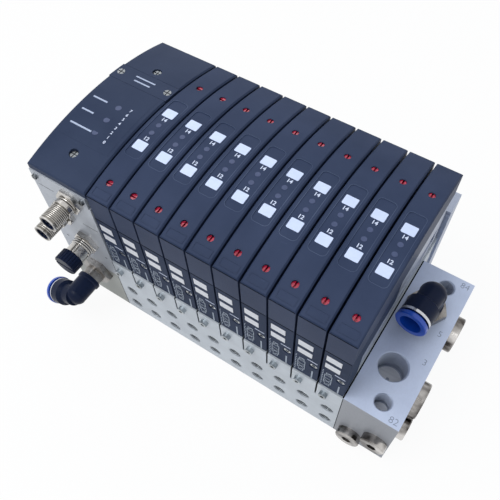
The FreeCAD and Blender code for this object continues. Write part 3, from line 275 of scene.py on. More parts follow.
def depth_inside(place, low, high):
    """How deep a place lies inside a box, in metres, so that bores and slots are told from faces."""
    depth = place.along(PLACE_X) - low[PLACE_X]
    for axis in (PLACE_X, PLACE_Y, PLACE_Z):
        depth = depth.maths("MINIMUM", depth, place.along(axis) - low[axis])
        depth = depth.maths("MINIMUM", depth, high[axis] - place.along(axis))
    return depth


def aluminium(name, light, dark, roughness, grain, box=None, metallic=0.5, shade=RECESS_SHADE, front=None):
    """Anodised aluminium: cloudy tone, fine grain that runs one way, light scratches, painted shade in
    bores.
    A box tells its bores from its faces, and front is the colour of the box's front face."""
    material, place = new_material(name, roughness, metallic=metallic)
    height = place.scaled(grain).noise(1.0, METAL_DETAIL)
    scratch_grain = [size * factor for size, factor in zip(grain, SCRATCH_STRETCH)]
    scratch = place.scaled(scratch_grain).noise(1.0, 1.0).stretch(*SCRATCH_BAND)
    tone = place.noise(*METAL_CLOUDS) * CLOUD_SHARE + height * (1 - CLOUD_SHARE)
    colour = tone.contrast(METAL_TONES).tint(dark, light)
    if box:
        # Painted shade darkens the bores and slots, the deeper ones more.
        recess = depth_inside(place, *box).stretch(RECESS_START, RECESS_DEEP) * shade
        colour = recess.tint(colour, RECESS_SHADE_TONE)
    if front:
        front_y = box[0].y
        at_front = place.along(PLACE_Y).stretch(front_y + FACE_START, front_y + FACE_END, 1.0, 0.0)
        colour = at_front.tint(colour, front)
    shine = height.contrast(WIDE_SPREAD, roughness - METAL_SHINE_SWING, roughness + METAL_SHINE_SWING)
    connect(
        material,
        Base_Color=colour,
        Roughness=shine - scratch * SCRATCH_SHINE,
        Normal=relief(height + scratch * SCRATCH_HEIGHT, METAL_RELIEF))
    return material


def dress(name, material):
    """Gives a CAD piece its finish."""
    for slot in nodes[name].material_slots:
        slot.material = material


def select_only(piece):
    bpy.ops.object.select_all(action="DESELECT")
    piece.select_set(True)
    bpy.context.view_layer.objects.active = piece


def settle(piece):
    """Moves a piece's place, turn and size into its mesh, so that its object sits at the origin."""
    select_only(piece)
    bpy.ops.object.transform_apply(location=True, rotation=True, scale=True)


def apply_modifiers(piece):
    select_only(piece)
    for modifier in list(piece.modifiers):
        bpy.ops.object.modifier_apply(modifier=modifier.name)


def repeat(piece, count, step):
    """Repeats a piece count times, each a step further, in one mesh."""
    array = piece.modifiers.new("row", "ARRAY")
    array.count = count
    array.use_relative_offset = False
    array.use_constant_offset = True
    array.constant_offset_displace = step
    apply_modifiers(piece)


def repeat_along_row(piece):
    """Repeats a piece of the first valve for all the others."""
    repeat(piece, VALVE_COUNT, (PITCH, 0, 0))


def joined(pieces):
    """Joins pieces into one."""
    select_only(pieces[0])
    for piece in pieces:
        piece.select_set(True)
    bpy.ops.object.join()
    return bpy.context.object


def fit(piece, name, material, body="island"):
    """Names a new piece, gives it its finish and lets it ride on a body."""
    piece.name = name
    piece.data.name = name
    piece.data.materials.clear()
    piece.data.materials.append(material)
    settle(piece)
    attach(piece, body)


def start_editing(piece):
    """Opens a piece in edit mode, with its whole mesh selected."""
    select_only(piece)
    bpy.ops.object.mode_set(mode="EDIT")
    bpy.ops.mesh.select_all(action="SELECT")


def stop_editing():
    bpy.ops.object.mode_set(mode="OBJECT")


def face_outwards(piece):
    """Merges a piece's doubled corners and turns its faces outwards."""
    start_editing(piece)
    bpy.ops.mesh.remove_doubles(threshold=0.001 * MM)
    bpy.ops.mesh.normals_make_consistent(inside=False)
    stop_editing()


def screw_thread(radius, pitch, turns, tooth, steps):
    """A closed helical ridge round Z, from its start at the origin upwards."""
    bpy.ops.object.select_all(action="DESELECT")
    bpy.ops.mesh.primitive_circle_add(
        vertices=3, radius=tooth, location=(radius, 0, 0), rotation=(math.pi / 2, 0, 0))
    ridge = bpy.context.object
    settle(ridge)
    turn = ridge.modifiers.new("turns", "SCREW")
    turn.screw_offset = pitch
    turn.iterations = turns
    turn.steps = steps
    turn.render_steps = steps
    apply_modifiers(ridge)
    start_editing(ridge)
    bpy.ops.mesh.fill_holes(sides=3)
    stop_editing()
    face_outwards(ridge)
    return ridge


def stand(piece, place, axis):
    """Stands a piece that was made round Z on a place, with Z turned to the axis."""
    piece.rotation_euler = Vector((0, 0, 1)).rotation_difference(Vector(axis)).to_euler()
    piece.location = place
    settle(piece)


MILLED_LIGHT = paint(196, 203, 211)
MILLED_DARK = paint(180, 187, 195)
MILLED_GRAIN = (30.0, 900.0, 900.0)
milled = aluminium(
    "milled_aluminium", MILLED_LIGHT, MILLED_DARK, roughness=0.5, grain=MILLED_GRAIN,
    box=(block_low, block_high))
dress("manifold_block", milled)
OUTLET_RADIUS = 4.45 * MM
OUTLET_PITCH = 0.907 * MM
OUTLET_TURNS = 9
OUTLET_TOOTH = 0.34 * MM
OUTLET_STEPS = 24
OUTLET_SHIFT = 1.0 * MM
OUTLET_HEIGHTS = (10.6 * MM, 29.6 * MM)
THREAD_START = 0.9 * MM
outlet_threads = screw_thread(OUTLET_RADIUS, OUTLET_PITCH, OUTLET_TURNS, OUTLET_TOOTH, OUTLET_STEPS)
stand(outlet_threads, (FIRST_X + OUTLET_SHIFT, FRONT + THREAD_START, OUTLET_HEIGHTS[0]), REARWARDS)
repeat(outlet_threads, 2, (0, 0, OUTLET_HEIGHTS[1] - OUTLET_HEIGHTS[0]))
repeat_along_row(outlet_threads)
thread_aluminium = aluminium(
    "thread_aluminium", MILLED_LIGHT, MILLED_DARK, roughness=0.4, grain=MILLED_GRAIN)
fit(outlet_threads, "outlet_threads", thread_aluminium)

# Ten socket head screws along its front hold the manifold's stations together. They are cold formed
# in steel and zinc plated, which leaves them a little cloudy.
TURNED_GRAIN = (300.0, 300.0, 300.0)
PLATED_CLOUDS = (60.0, 3.0)
PLATED_TONES = 0.15
PLATED_SHINE = (-0.05, 0.07)
PLATED_RELIEF = 0.003 * MM


def plated_metal(name, light, dark, roughness, grain=TURNED_GRAIN, spread=PLATED_TONES):
    """Plated metal: a little cloudy, with fine marks where it was turned. A small spread parts its
    light and dark tones."""
    material, place = new_material(name, roughness, metallic=1.0)
    turned = place.scaled(grain).noise(1.0)
    tone = place.noise(*PLATED_CLOUDS) * CLOUD_SHARE + turned * (1 - CLOUD_SHARE)
    connect(
        material,
        Base_Color=tone.contrast(spread).tint(dark, light),
        Roughness=turned.contrast(WIDE_SPREAD, *[roughness + swing for swing in PLATED_SHINE]),
        Normal=relief(turned, PLATED_RELIEF))
    return material


zinc_plate = plated_metal(
    "zinc_plate", light=paint(190, 197, 202), dark=paint(140, 147, 152), roughness=0.3)
dress("manifold_screws", zinc_plate)

# The left end block closes the manifold on that side and carries the supply fitting. It is milled
# from aluminium bar like the manifold, in a darker and less blue tone.
left_aluminium = aluminium(
    "left_block_aluminium", light=paint(160, 163, 160), dark=paint(144, 147, 144), roughness=0.5,
    grain=MILLED_GRAIN, box=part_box("left_end_block"))
dress("left_end_block", left_aluminium)

# The right end plate carries the exhaust and pilot ports, which are tapped in its top. It is finely
# blasted before it is anodised, so it looks smoother and bluer. Its front face is coloured darker.
BLASTED_GRAIN = (900.0, 500.0, 900.0)
end_low, end_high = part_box("port_end_plate")
end_aluminium = aluminium(
    "end_plate_aluminium", light=paint(196, 207, 230), dark=paint(184, 195, 219), roughness=0.55,
    grain=BLASTED_GRAIN, box=(end_low, end_high), metallic=0.35, shade=0.34, front=paint(150, 153, 160))
dress("port_end_plate", end_aluminium)
PORT_X = end_low.x + 16.2 * MM
PILOT_X = end_low.x + 21.0 * MM
PORT_3_Y = end_low.y + 34.5 * MM
PILOT_INSET = 11.4 * MM
PILOT_YS = (end_low.y + PILOT_INSET, end_high.y - PILOT_INSET)
MAIN_RADIUS = 9.6 * MM
MAIN_THREAD_PITCH = 1.814 * MM
MAIN_TOOTH = 0.55 * MM
PILOT_RADIUS = 5.5 * MM
PILOT_THREAD_PITCH = 1.337 * MM
PILOT_TOOTH = 0.42 * MM
PORT_TURNS = 9
PORT_STEPS = 36
main_thread = screw_thread(MAIN_RADIUS, MAIN_THREAD_PITCH, PORT_TURNS, MAIN_TOOTH, PORT_STEPS)
stand(main_thread, (PORT_X, PORT_3_Y, end_high.z - THREAD_START), DOWNWARDS)
port_threads = [main_thread]
for y in PILOT_YS:
    pilot_thread = screw_thread(PILOT_RADIUS, PILOT_THREAD_PITCH, PORT_TURNS, PILOT_TOOTH, PORT_STEPS)
    stand(pilot_thread, (PILOT_X, y, end_high.z - THREAD_START), DOWNWARDS)
    port_threads.append(pilot_thread)
fit(joined(port_threads), "port_threads", end_aluminium)

# The ports end in flat seats, which the boring tool leaves at their floors. They are bare turned
# metal, coloured far paler than the anodised faces as painted light on the bores' floors.
SEAT_SHARES = (0.12, 0.9)
SEAT_THICKNESS = 0.3 * MM
SEAT_STEPS = 48
ABOVE = 1.0


def surface_under(name, x, y):
    """The first point of a CAD piece that is met from above."""
    return nodes[name].ray_cast(Vector((x, y, ABOVE)), Vector(DOWNWARDS))[1]


def flat_sheet(place, size, turn=(0, 0, 0)):
    """A flat rectangle with its middle at a place."""
    bpy.ops.object.select_all(action="DESELECT")
    bpy.ops.mesh.primitive_plane_add(size=1.0)
    sheet = bpy.context.object
    sheet.rotation_euler = turn
    sheet.scale = (*size, 1)
    sheet.location = place
    settle(sheet)
    return sheet


def turned_ring(radii, heights, steps):
    """A closed ring of rectangular section round Z."""
    section = flat_sheet(
        ((radii[0] + radii[1]) / 2, 0, (heights[0] + heights[1]) / 2),
        (radii[1] - radii[0], heights[1] - heights[0]), (math.pi / 2, 0, 0))
    turn = section.modifiers.new("turn", "SCREW")
    turn.steps = steps
    turn.render_steps = steps
    apply_modifiers(section)
    face_outwards(section)
    return section


def move(piece, x, y, z):
    """Moves a piece that was made at the origin."""
    piece.location = (x, y, z)
    settle(piece)


seats = []
ports = [(PORT_X, PORT_3_Y, MAIN_RADIUS)] + [(PILOT_X, y, PILOT_RADIUS) for y in PILOT_YS]
for x, y, radius in ports:
    seat = turned_ring([share * radius for share in SEAT_SHARES], (0.0, SEAT_THICKNESS), SEAT_STEPS)
    move(seat, x, y, surface_under("port_end_plate", x, y).z)
    seats.append(seat)
seat_aluminium = aluminium(
    "seat_aluminium", light=paint(236, 239, 246), dark=paint(214, 217, 226), roughness=0.4,
    grain=MILLED_GRAIN, metallic=0.25)
fit(joined(seats), "port_seats", seat_aluminium)

# The port numbers are engraved in the top of the end plate, along its outer edge. The cutter leaves
# a matt floor that looks darker than the blasted face.
ENGRAVED_X = end_high.x - 5.2 * MM
ENGRAVED_SIZE = 6.2 * MM
ENGRAVED_THICKNESS = 0.03 * MM
ENGRAVED_WEIGHT = -0.06 * MM
ENGRAVED_PLACES = (("82", 4.0 * MM), ("3", 47.0 * MM), ("5", 69.6 * MM), ("84", 110.0 * MM))
INK_CLOUDS = (1500.0, 2.0)
INK_WEAR = 0.86


def numeral(text, size, thickness, weight):
    """A plain number as a flat mesh that faces up, centred on the origin."""
    bpy.ops.object.select_all(action="DESELECT")
    bpy.ops.object.text_add()
    words = bpy.context.object
    words.data.body = text
    words.data.size = size
    words.data.align_x = "CENTER"
    words.data.align_y = "CENTER"
    words.data.extrude = thickness
    words.data.offset = weight
    words.data.resolution_u = 3
    bpy.ops.object.convert(target="MESH")
    return bpy.context.object


def flat_print(name, colour, roughness, gloss=0.5):
    """Printing ink or the floor of an engraving, slightly uneven."""
    dull = (*[INK_WEAR * value for value in colour[:3]], 1.0)
    return smooth_finish(name, dull, colour, roughness, INK_CLOUDS, spread=WIDE_SPREAD, gloss=gloss)


engraving = flat_print("engraving_floor", paint(138, 148, 170), roughness=0.7)
engraved = []
for text, y in ENGRAVED_PLACES:
    mark = numeral(text, ENGRAVED_SIZE, ENGRAVED_THICKNESS, ENGRAVED_WEIGHT)
    move(mark, ENGRAVED_X, end_low.y + y, end_high.z)
    engraved.append(mark)
fit(joined(engraved), "port_numbers", engraving)

# A thin dark gasket seals each end of the manifold. It is cut from rubber sheet and clamped between
# the bar and the end block, so only its edge shows.
SEAM_WIDTH = 0.45 * MM
TOP_SEAM_WIDTH = 0.9 * MM
TOP_SEAM_SHIFT = 0.2 * MM
PRINT_THICKNESS = 0.05 * MM
SEAM_GLOSS = 0.05


def thicken(sheet, thickness):
    """Gives a flat sheet on the XY plane its thickness, upwards."""
    start_editing(sheet)
    bpy.ops.mesh.extrude_region_move(TRANSFORM_OT_translate={"value": (0, 0, thickness)})
    stop_editing()
    face_outwards(sheet)


def ink_bar(x0, y0, x1, y1, width):
    """One thin strip between two points of the XY plane."""
    bar = flat_sheet(
        ((x0 + x1) / 2, (y0 + y1) / 2, 0), (math.hypot(x1 - x0, y1 - y0) + width, width),
        (0, 0, math.atan2(y1 - y0, x1 - x0)))
    thicken(bar, PRINT_THICKNESS)
    return bar


def face_front(piece, x, y, z):
    """Turns a piece made on the XY plane to face the front, with its origin at a place."""
    piece.rotation_euler = (math.pi / 2, 0, 0)
    move(piece, x, y, z)


seam_black = flat_print("seam_black", paint(24, 26, 32), roughness=0.7, gloss=SEAM_GLOSS)
seams = []
for x in (block_low.x, block_high.x):
    front_seam = ink_bar(0, SEAM_WIDTH, 0, TOP - SEAM_WIDTH, SEAM_WIDTH)
    face_front(front_seam, x, FRONT, 0)
    seams.append(front_seam)
top_seam = ink_bar(
    block_high.x, FRONT + TOP_SEAM_WIDTH, block_high.x, end_high.y - TOP_SEAM_WIDTH, TOP_SEAM_WIDTH)
move(top_seam, -TOP_SEAM_SHIFT, 0, TOP)
seams.append(top_seam)
fit(joined(seams), "gasket_edges", seam_black)

# Flanged plugs close the unused ports of the end plate. They are turned in steel and nickel plated,
# and screwed in. They mirror the room, and broad light and dark streaks add a painted reflection.
plug_nickel = plated_metal(
    "plug_nickel", light=paint(208, 205, 202), dark=paint(76, 72, 70), roughness=0.2,
    grain=(40.0, 120.0, 120.0), spread=0.1)
dress("port_plugs", plug_nickel)

# Each valve has an aluminium body on a rubber gasket, with a steel spool inside it. A bright screw
# in the pocket of the front cap holds the cap on, and its head has a raised rim round the socket.
HEAD_SHIFT = 4.6 * MM
HEAD_HEIGHT = 19.2 * MM
HEAD_RADII = (1.3 * MM, 2.4 * MM)
HEAD_DEPTH = 0.55 * MM
HEAD_THICKNESS = 1.8 * MM
HEAD_STEPS = 32
rubber = smooth_finish(
    "gasket_rubber", dark=paint(24, 25, 27), light=paint(38, 39, 42), roughness=0.75,
    clouds=(300.0, 2.0), grain=(1800.0, 0.02 * MM))
dress("valve_gaskets", rubber)
body_aluminium = aluminium(
    "valve_body_aluminium", light=paint(184, 191, 207), dark=paint(166, 173, 190), roughness=0.5,
    grain=(800.0, 60.0, 800.0), metallic=0.35)
dress("valve_bodies", body_aluminium)
dress("spools", zinc_plate)
valve_steel = plated_metal(
    "valve_screw_steel", light=paint(226, 229, 232), dark=paint(190, 194, 198), roughness=0.24)
dress("valve_screws", valve_steel)
heads = turned_ring(HEAD_RADII, (0.0, HEAD_THICKNESS), HEAD_STEPS)
stand(heads, (FIRST_X + HEAD_SHIFT, VALVE_FRONT + HEAD_DEPTH, TOP + HEAD_HEIGHT), REARWARDS)
repeat_along_row(heads)
fit(heads, "valve_screw_rims", valve_steel)

# A dark cap closes the front of each valve. It is moulded in plastic, in a spark eroded tool that
# gives it a fine even grain.
PLASTIC_GLOSS = 0.06
SPARK_GRAIN = (2300.0, 3.0)
SPARK_SPREAD = 0.3
PLASTIC_CLOUDS = (38.0, 4.0)
PLASTIC_SHINE_SWING = 0.06
SCUFF_STRETCH = (140.0, 420.0, 140.0)
SCUFF_BAND = (0.7, 0.8)
SCUFF_SHARE = 0.3
SCUFF_GAIN = 1.6
SCUFF_DUST = 0.01


def moulded_plastic(name, light, dark, roughness, depth, gloss=PLASTIC_GLOSS):
    """Moulded plastic: spark eroded grain, cloudy tone and pale scuffs where hands and tools rub."""
    material, place = new_material(name, roughness, gloss=gloss)
    grain = place.noise(*SPARK_GRAIN)
    cloud = place.noise(*PLASTIC_CLOUDS).contrast(WIDE_SPREAD)
    rubbed = place.scaled(SCUFF_STRETCH).noise(1.0).stretch(*SCUFF_BAND)
    pale = (*[SCUFF_GAIN * value + SCUFF_DUST for value in light[:3]], 1.0)
    shine = grain.contrast(SPARK_SPREAD, roughness - PLASTIC_SHINE_SWING, roughness + PLASTIC_SHINE_SWING)
    connect(
        material,
        Base_Color=(rubbed * SCUFF_SHARE).tint(cloud.tint(dark, light), pale),
        Roughness=shine + rubbed * PLASTIC_SHINE_SWING,
        Normal=relief(grain, depth))
    return material


cap_plastic = moulded_plastic(
    "cap_plastic", light=paint(48, 59, 82), dark=paint(40, 50, 72), roughness=0.55, depth=0.03 * MM)
dress("valve_front_caps", cap_plastic)

# Each front cap holds two pale marking strips for notes. They are moulded in white plastic and
# pressed into their seats.
STRIP_LEFT = -6.7 * MM
STRIP_RIGHT = 2.9 * MM
STRIP_THICKNESS = 0.45 * MM
STRIP_HEIGHTS = ((38.8 * MM, 45.4 * MM), (29.0 * MM, 35.2 * MM))
STRIP_CORNER = 0.4 * MM
STRIP_DEPTH = 0.5 * MM
SOFT_EDGE = 0.1 * MM


def round_sheet(left, right, low, high, corner, segments):
    """A flat rectangle on the XY plane, with round corners."""
    sheet = flat_sheet(((left + right) / 2, (low + high) / 2, 0), (right - left, high - low))
    start_editing(sheet)
    bpy.ops.mesh.bevel(offset=corner, segments=segments, affect="VERTICES")
    stop_editing()
    return sheet


def rounded_plate(left, right, low, high, thickness, corner, edge=SOFT_EDGE):
    """A thin plate on the XY plane, with round corners and softened edges."""
    plate = round_sheet(left, right, low, high, corner, segments=4)
    thicken(plate, thickness)
    soften = plate.modifiers.new("soft_edge", "BEVEL")
    soften.width = edge
    soften.segments = 2
    soften.limit_method = "ANGLE"
    apply_modifiers(plate)
    return plate


strip_plastic = smooth_finish(
    "marking_strip", dark=paint(206, 208, 216), light=paint(222, 224, 230), roughness=0.42,
    clouds=(260.0, 3.0), grain=(1500.0, 0.015 * MM))
strips = []
for low, high in STRIP_HEIGHTS:
    strip = rounded_plate(STRIP_LEFT, STRIP_RIGHT, low, high, STRIP_THICKNESS, STRIP_CORNER)
    face_front(strip, FIRST_X, VALVE_FRONT + STRIP_DEPTH, TOP)
    strips.append(strip)
marking_strips = joined(strips)
repeat_along_row(marking_strips)
fit(marking_strips, "marking_strips", strip_plastic)

# The caps are pad printed in pale grey with a valve's circuit symbol, turned upright, with rows of
# ticks beside it and with a short white line over the screw.
LINE_WIDTH = 0.42 * MM
SYMBOL_LEFT = -5.6 * MM
SYMBOL_RIGHT = -0.9 * MM
SYMBOL_MIDDLE = 13.4 * MM
SYMBOL_STEP = 6.2 * MM
SYMBOL_TOP = SYMBOL_MIDDLE + SYMBOL_STEP
SYMBOL_BOTTOM = SYMBOL_MIDDLE - SYMBOL_STEP
COIL_LEFT = SYMBOL_LEFT + 0.8 * MM
COIL_RIGHT = SYMBOL_RIGHT - 0.8 * MM
COIL_STEP = 2.8 * MM
FLOW_INSET = 1.0 * MM
TICK_X = -7.2 * MM
TICK_LENGTH = 0.9 * MM
TICK_FIRST = 2.6 * MM
TICK_STEP = 1.9 * MM
TICK_COUNT = 12
SIDE_BAR_X = 4.5 * MM
SIDE_BAR_FIRST = 1.8 * MM
SIDE_BAR_STEP = 1.5 * MM
SIDE_BAR_COUNT = 7
SIDE_BAR_WIDTH = 0.95 * MM
CAP_LINE = (0.6 * MM, 25.6 * MM, 6.6 * MM, 25.6 * MM)
CAP_LINE_WIDTH = 0.7 * MM


def ink_line(x0, y0, x1, y1):
    """One printed stroke."""
    return ink_bar(x0, y0, x1, y1, LINE_WIDTH)


def ink_box(x0, y0, x1, y1):
    """Four printed strokes round a rectangle."""
    corners = ((x0, y0), (x1, y0), (x1, y1), (x0, y1), (x0, y0))
    return [ink_line(*start, *end) for start, end in zip(corners, corners[1:])]


ink = ink_box(SYMBOL_LEFT, SYMBOL_MIDDLE, SYMBOL_RIGHT, SYMBOL_TOP)
ink += ink_box(SYMBOL_LEFT, SYMBOL_BOTTOM, SYMBOL_RIGHT, SYMBOL_MIDDLE)
for height in (SYMBOL_MIDDLE + FLOW_INSET, SYMBOL_TOP - FLOW_INSET):
    ink.append(ink_line(SYMBOL_LEFT, height, SYMBOL_RIGHT, height))
crossed_low = SYMBOL_BOTTOM + FLOW_INSET
crossed_high = SYMBOL_MIDDLE - FLOW_INSET
ink.append(ink_line(SYMBOL_LEFT, crossed_low, SYMBOL_RIGHT, crossed_high))
ink.append(ink_line(SYMBOL_LEFT, crossed_high, SYMBOL_RIGHT, crossed_low))
for low in (SYMBOL_TOP, SYMBOL_BOTTOM - COIL_STEP):
    ink += ink_box(COIL_LEFT, low, COIL_RIGHT, low + COIL_STEP)
    ink.append(ink_line(COIL_LEFT, low, COIL_RIGHT, low + COIL_STEP))
for tick in range(TICK_COUNT):
    height = TICK_FIRST + tick * TICK_STEP
    lean = (tick % 2) * TICK_LENGTH / 2
    ink.append(ink_line(TICK_X, height, TICK_X + lean, height + TICK_LENGTH))
for side_bar in range(SIDE_BAR_COUNT):
    low = SIDE_BAR_FIRST + side_bar * SIDE_BAR_STEP
    ink.append(ink_bar(SIDE_BAR_X, low, SIDE_BAR_X, low + SIDE_BAR_STEP / 2, SIDE_BAR_WIDTH))
grey_ink = flat_print("grey_ink", paint(174, 185, 200), roughness=0.6)
symbols = joined(ink)
face_front(symbols, FIRST_X, VALVE_FRONT, TOP)
repeat_along_row(symbols)
fit(symbols, "circuit_symbols", grey_ink)
white_ink = flat_print("white_ink", paint(214, 224, 248), roughness=0.55)
cap_lines = ink_bar(*CAP_LINE, CAP_LINE_WIDTH)
face_front(cap_lines, FIRST_X, VALVE_FRONT, TOP)
repeat_along_row(cap_lines)
fit(cap_lines, "cap_lines", white_ink)

# An arched cover goes over the top of each valve. The covers are moulded in dark blue grey plastic
# with a fine spark eroded grain, a little glossier than that of the caps.
COVER_GLOSS = 0.1
COVER_DEPTH = 0.025 * MM
cover_plastic = moulded_plastic(
    "cover_plastic", light=paint(54, 65, 91), dark=paint(46, 57, 82), roughness=0.5, depth=COVER_DEPTH,
    gloss=COVER_GLOSS)
for index in range(VALVE_COUNT):
    dress("valve_cover_%02d" % (index + 1), cover_plastic)

# A narrow joint shows between each cover and its front cap, and another under the cover's top. Both
# are gaps between mouldings, too deep and narrow for light, so each is a thin matt black strip.
JOINT_LEFT = -8.0 * MM
JOINT_RIGHT = 7.6 * MM
JOINT_WIDTH = 0.75 * MM
JOINT_HEIGHTS = (valve_low.z, valve_low.z + 22.7 * MM)
joints = []
for height in JOINT_HEIGHTS:
    joint = ink_bar(JOINT_LEFT, 0, JOINT_RIGHT, 0, JOINT_WIDTH)
    face_front(joint, FIRST_X, VALVE_FRONT, height)
    joints.append(joint)
cover_joints = joined(joints)
repeat_along_row(cover_joints)
joint_black = flat_print("joint_black", paint(10, 13, 22), roughness=0.8, gloss=SEAM_GLOSS)
fit(cover_joints, "cover_joints", joint_black)

# A fine bead runs round the window in the top of each cover, where its labels and lamps lie. It is
# part of the moulding, and its paler colour is a painted highlight along its edge.
RAIL_X = FIRST_X + 6.8 * MM
RAIL_INSET = 6.0 * MM
RAIL_PLACES = (VALVE_FRONT + RAIL_INSET, 0.0, valve_high.y - RAIL_INSET)
WINDOW_DEPTH = 0.35 * MM
WINDOW_FRONT_Y = VALVE_FRONT + 33.0 * MM
WINDOW_REAR_Y = VALVE_FRONT + 85.0 * MM
WINDOW_HALF = 5.8 * MM
WINDOW_CORNER = 3.0 * MM
BEAD_WIDTH = 0.28 * MM
BEAD_PROUD = 0.1 * MM
ARCH_STEP = 4.0 * MM


def rail_point(y):
    """A point on the first cover's arch, beside its window."""
    place = surface_under("valve_cover_01", RAIL_X, y)
    return place.y, place.z


def circle_through(first, second, third):
    """Centre and radius of the circle through three points."""
    (ay, az), (by, bz), (cy, cz) = first, second, third
    area = 2 * (ay * (bz - cz) + by * (cz - az) + cy * (az - bz))
    squares = [y * y + z * z for y, z in (first, second, third)]
    centre_y = (squares[0] * (bz - cz) + squares[1] * (cz - az) + squares[2] * (az - bz)) / area
    centre_z = (squares[0] * (cy - by) + squares[1] * (ay - cy) + squares[2] * (by - ay)) / area
    return centre_y, centre_z, math.hypot(ay - centre_y, az - centre_z)


ARCH_Y, ARCH_Z, ARCH_RADIUS = circle_through(*[rail_point(y) for y in RAIL_PLACES])


def bend_to_arch(piece, drop=0.0):
    """Bends a piece made on the XY plane over the covers' arch, lowered by drop."""
    low = min(vertex.co.y for vertex in piece.data.vertices)
    high = max(vertex.co.y for vertex in piece.data.vertices)
    start_editing(piece)
    for cut in range(1, math.ceil((high - low) / ARCH_STEP)):
        bpy.ops.mesh.select_all(action="SELECT")
        bpy.ops.mesh.bisect(plane_co=(0, low + cut * ARCH_STEP, 0), plane_no=(0, 1, 0))
    stop_editing()
    for vertex in piece.data.vertices:
        rise = math.sqrt(ARCH_RADIUS ** 2 - (vertex.co.y - ARCH_Y) ** 2)
        vertex.co.z += ARCH_Z + rise - drop


def frame_plate(left, right, low, high, thickness, corner, width):
    """A thin frame on the XY plane, with round corners."""
    plate = round_sheet(left, right, low, high, corner, segments=5)
    start_editing(plate)
    bpy.ops.mesh.inset(thickness=width)
    bpy.ops.mesh.delete(type="FACE")
    stop_editing()
    thicken(plate, thickness)
    return plate


bead = frame_plate(
    FIRST_X - WINDOW_HALF, FIRST_X + WINDOW_HALF, WINDOW_FRONT_Y, WINDOW_REAR_Y,
    WINDOW_DEPTH + BEAD_PROUD, WINDOW_CORNER, BEAD_WIDTH)
bend_to_arch(bead, WINDOW_DEPTH)
repeat_along_row(bead)
bead_plastic = moulded_plastic(
    "bead_plastic", light=paint(92, 104, 130), dark=paint(58, 70, 98), roughness=0.4, depth=0.02 * MM)
fit(bead, "window_beads", bead_plastic)

# A bare field with a raised border stands at the front of each cover. It is part of the moulding, in
# the cover's own plastic and grain.
FIELD_HALF = 5.9 * MM
FIELD_FRONT_Y = VALVE_FRONT + 2.4 * MM
FIELD_REAR_Y = VALVE_FRONT + 7.7 * MM
FIELD_CORNER = 0.6 * MM
FIELD_BORDER = 0.4 * MM
FIELD_PROUD = 0.2 * MM
field = frame_plate(
    FIRST_X - FIELD_HALF, FIRST_X + FIELD_HALF, FIELD_FRONT_Y, FIELD_REAR_Y,
    FIELD_PROUD, FIELD_CORNER, FIELD_BORDER)
bend_to_arch(field)
repeat_along_row(field)
fit(field, "bare_fields", cover_plastic)

# Two white push labels lie in each cover's window, with the coil numbers 14 and 12 printed by them.
# They are thin plastic plates, pressed in, and they follow the cover's arch.
LABEL_HALF = 4.1 * MM
LABEL_RUN = 3.5 * MM
LABEL_THICKNESS = 0.3 * MM
LABEL_CORNER = 0.7 * MM
COIL_MARKS = (("12", 42.6 * MM, 48.7 * MM), ("14", 72.4 * MM, 66.5 * MM))
COIL_MARK_SIZE = 3.7 * MM
BOLD = 0.1 * MM
PRINT_LIFT = 0.04 * MM
label_white = smooth_finish(
    "label_white", dark=paint(198, 212, 246), light=paint(212, 224, 252), roughness=0.38,
    clouds=(220.0, 3.0), grain=(1200.0, 0.012 * MM))
labels = []
numerals = []
for text, label_place, mark_place in COIL_MARKS:
    label_y = VALVE_FRONT + label_place
    label = rounded_plate(
        FIRST_X - LABEL_HALF, FIRST_X + LABEL_HALF, label_y - LABEL_RUN, label_y + LABEL_RUN,
        LABEL_THICKNESS, LABEL_CORNER)
    bend_to_arch(label, WINDOW_DEPTH)
    labels.append(label)
    mark = numeral(text, COIL_MARK_SIZE, PRINT_THICKNESS, BOLD)
    move(mark, FIRST_X, VALVE_FRONT + mark_place, PRINT_LIFT)
    bend_to_arch(mark, WINDOW_DEPTH)
    numerals.append(mark)
push_labels = joined(labels)
repeat_along_row(push_labels)
fit(push_labels, "push_labels", label_white)
coil_numbers = joined(numerals)
repeat_along_row(coil_numbers)
fit(coil_numbers, "coil_numbers", white_ink)

# A thin lip narrows the mouth of each screw well in the covers, so that the screws can't come out.
# It is moulded with the cover and leans with its arch.
WELL_RADIUS = 2.78 * MM
MOUTH_RADIUS = 2.25 * MM
LIP_DEPTH = 0.55 * MM
LIP_STEPS = 32
PILOTS = ("12", "14")
motions = {motion["name"]: motion for motion in frame["joints"]}
lips = []
for pilot in PILOTS:
    y = motions["override_%s_01_turn" % pilot]["pos_m"][PLACE_Y]
    lip = turned_ring((MOUTH_RADIUS, WELL_RADIUS), (-LIP_DEPTH, 0.0), LIP_STEPS)
    lean = math.asin((ARCH_Y - y) / ARCH_RADIUS)
    lip.rotation_euler = (lean, 0, 0)
    move(lip, FIRST_X, y, ARCH_Z + ARCH_RADIUS * math.cos(lean))
    lips.append(lip)
well_lips = joined(lips)
repeat_along_row(well_lips)
fit(well_lips, "well_lips", cover_plastic)

# Red slotted screws work the two pilots of each valve by hand. They are moulded in glossy plastic
# and turn in the wells of the covers.
override_red = smooth_finish(
    "override_red", dark=paint(146, 12, 40), light=paint(196, 50, 82), roughness=0.24,
    clouds=(900.0, 2.0), spread=0.15, grain=(2600.0, 0.012 * MM), coat=0.5)
for index in range(VALVE_COUNT):
    for pilot in PILOTS:
        dress("override_%s_%02d" % (pilot, index + 1), override_red)

# Small smoky lenses cover the lamps of the coils and of the bus module. They are moulded in grey
# plastic and pressed into the housings.
lens_plastic = smooth_finish(
    "lens_plastic", dark=paint(66, 76, 106), light=paint(80, 90, 122), roughness=0.3,
    clouds=(500.0, 2.0), gloss=0.2)
dress("status_lenses", lens_plastic)

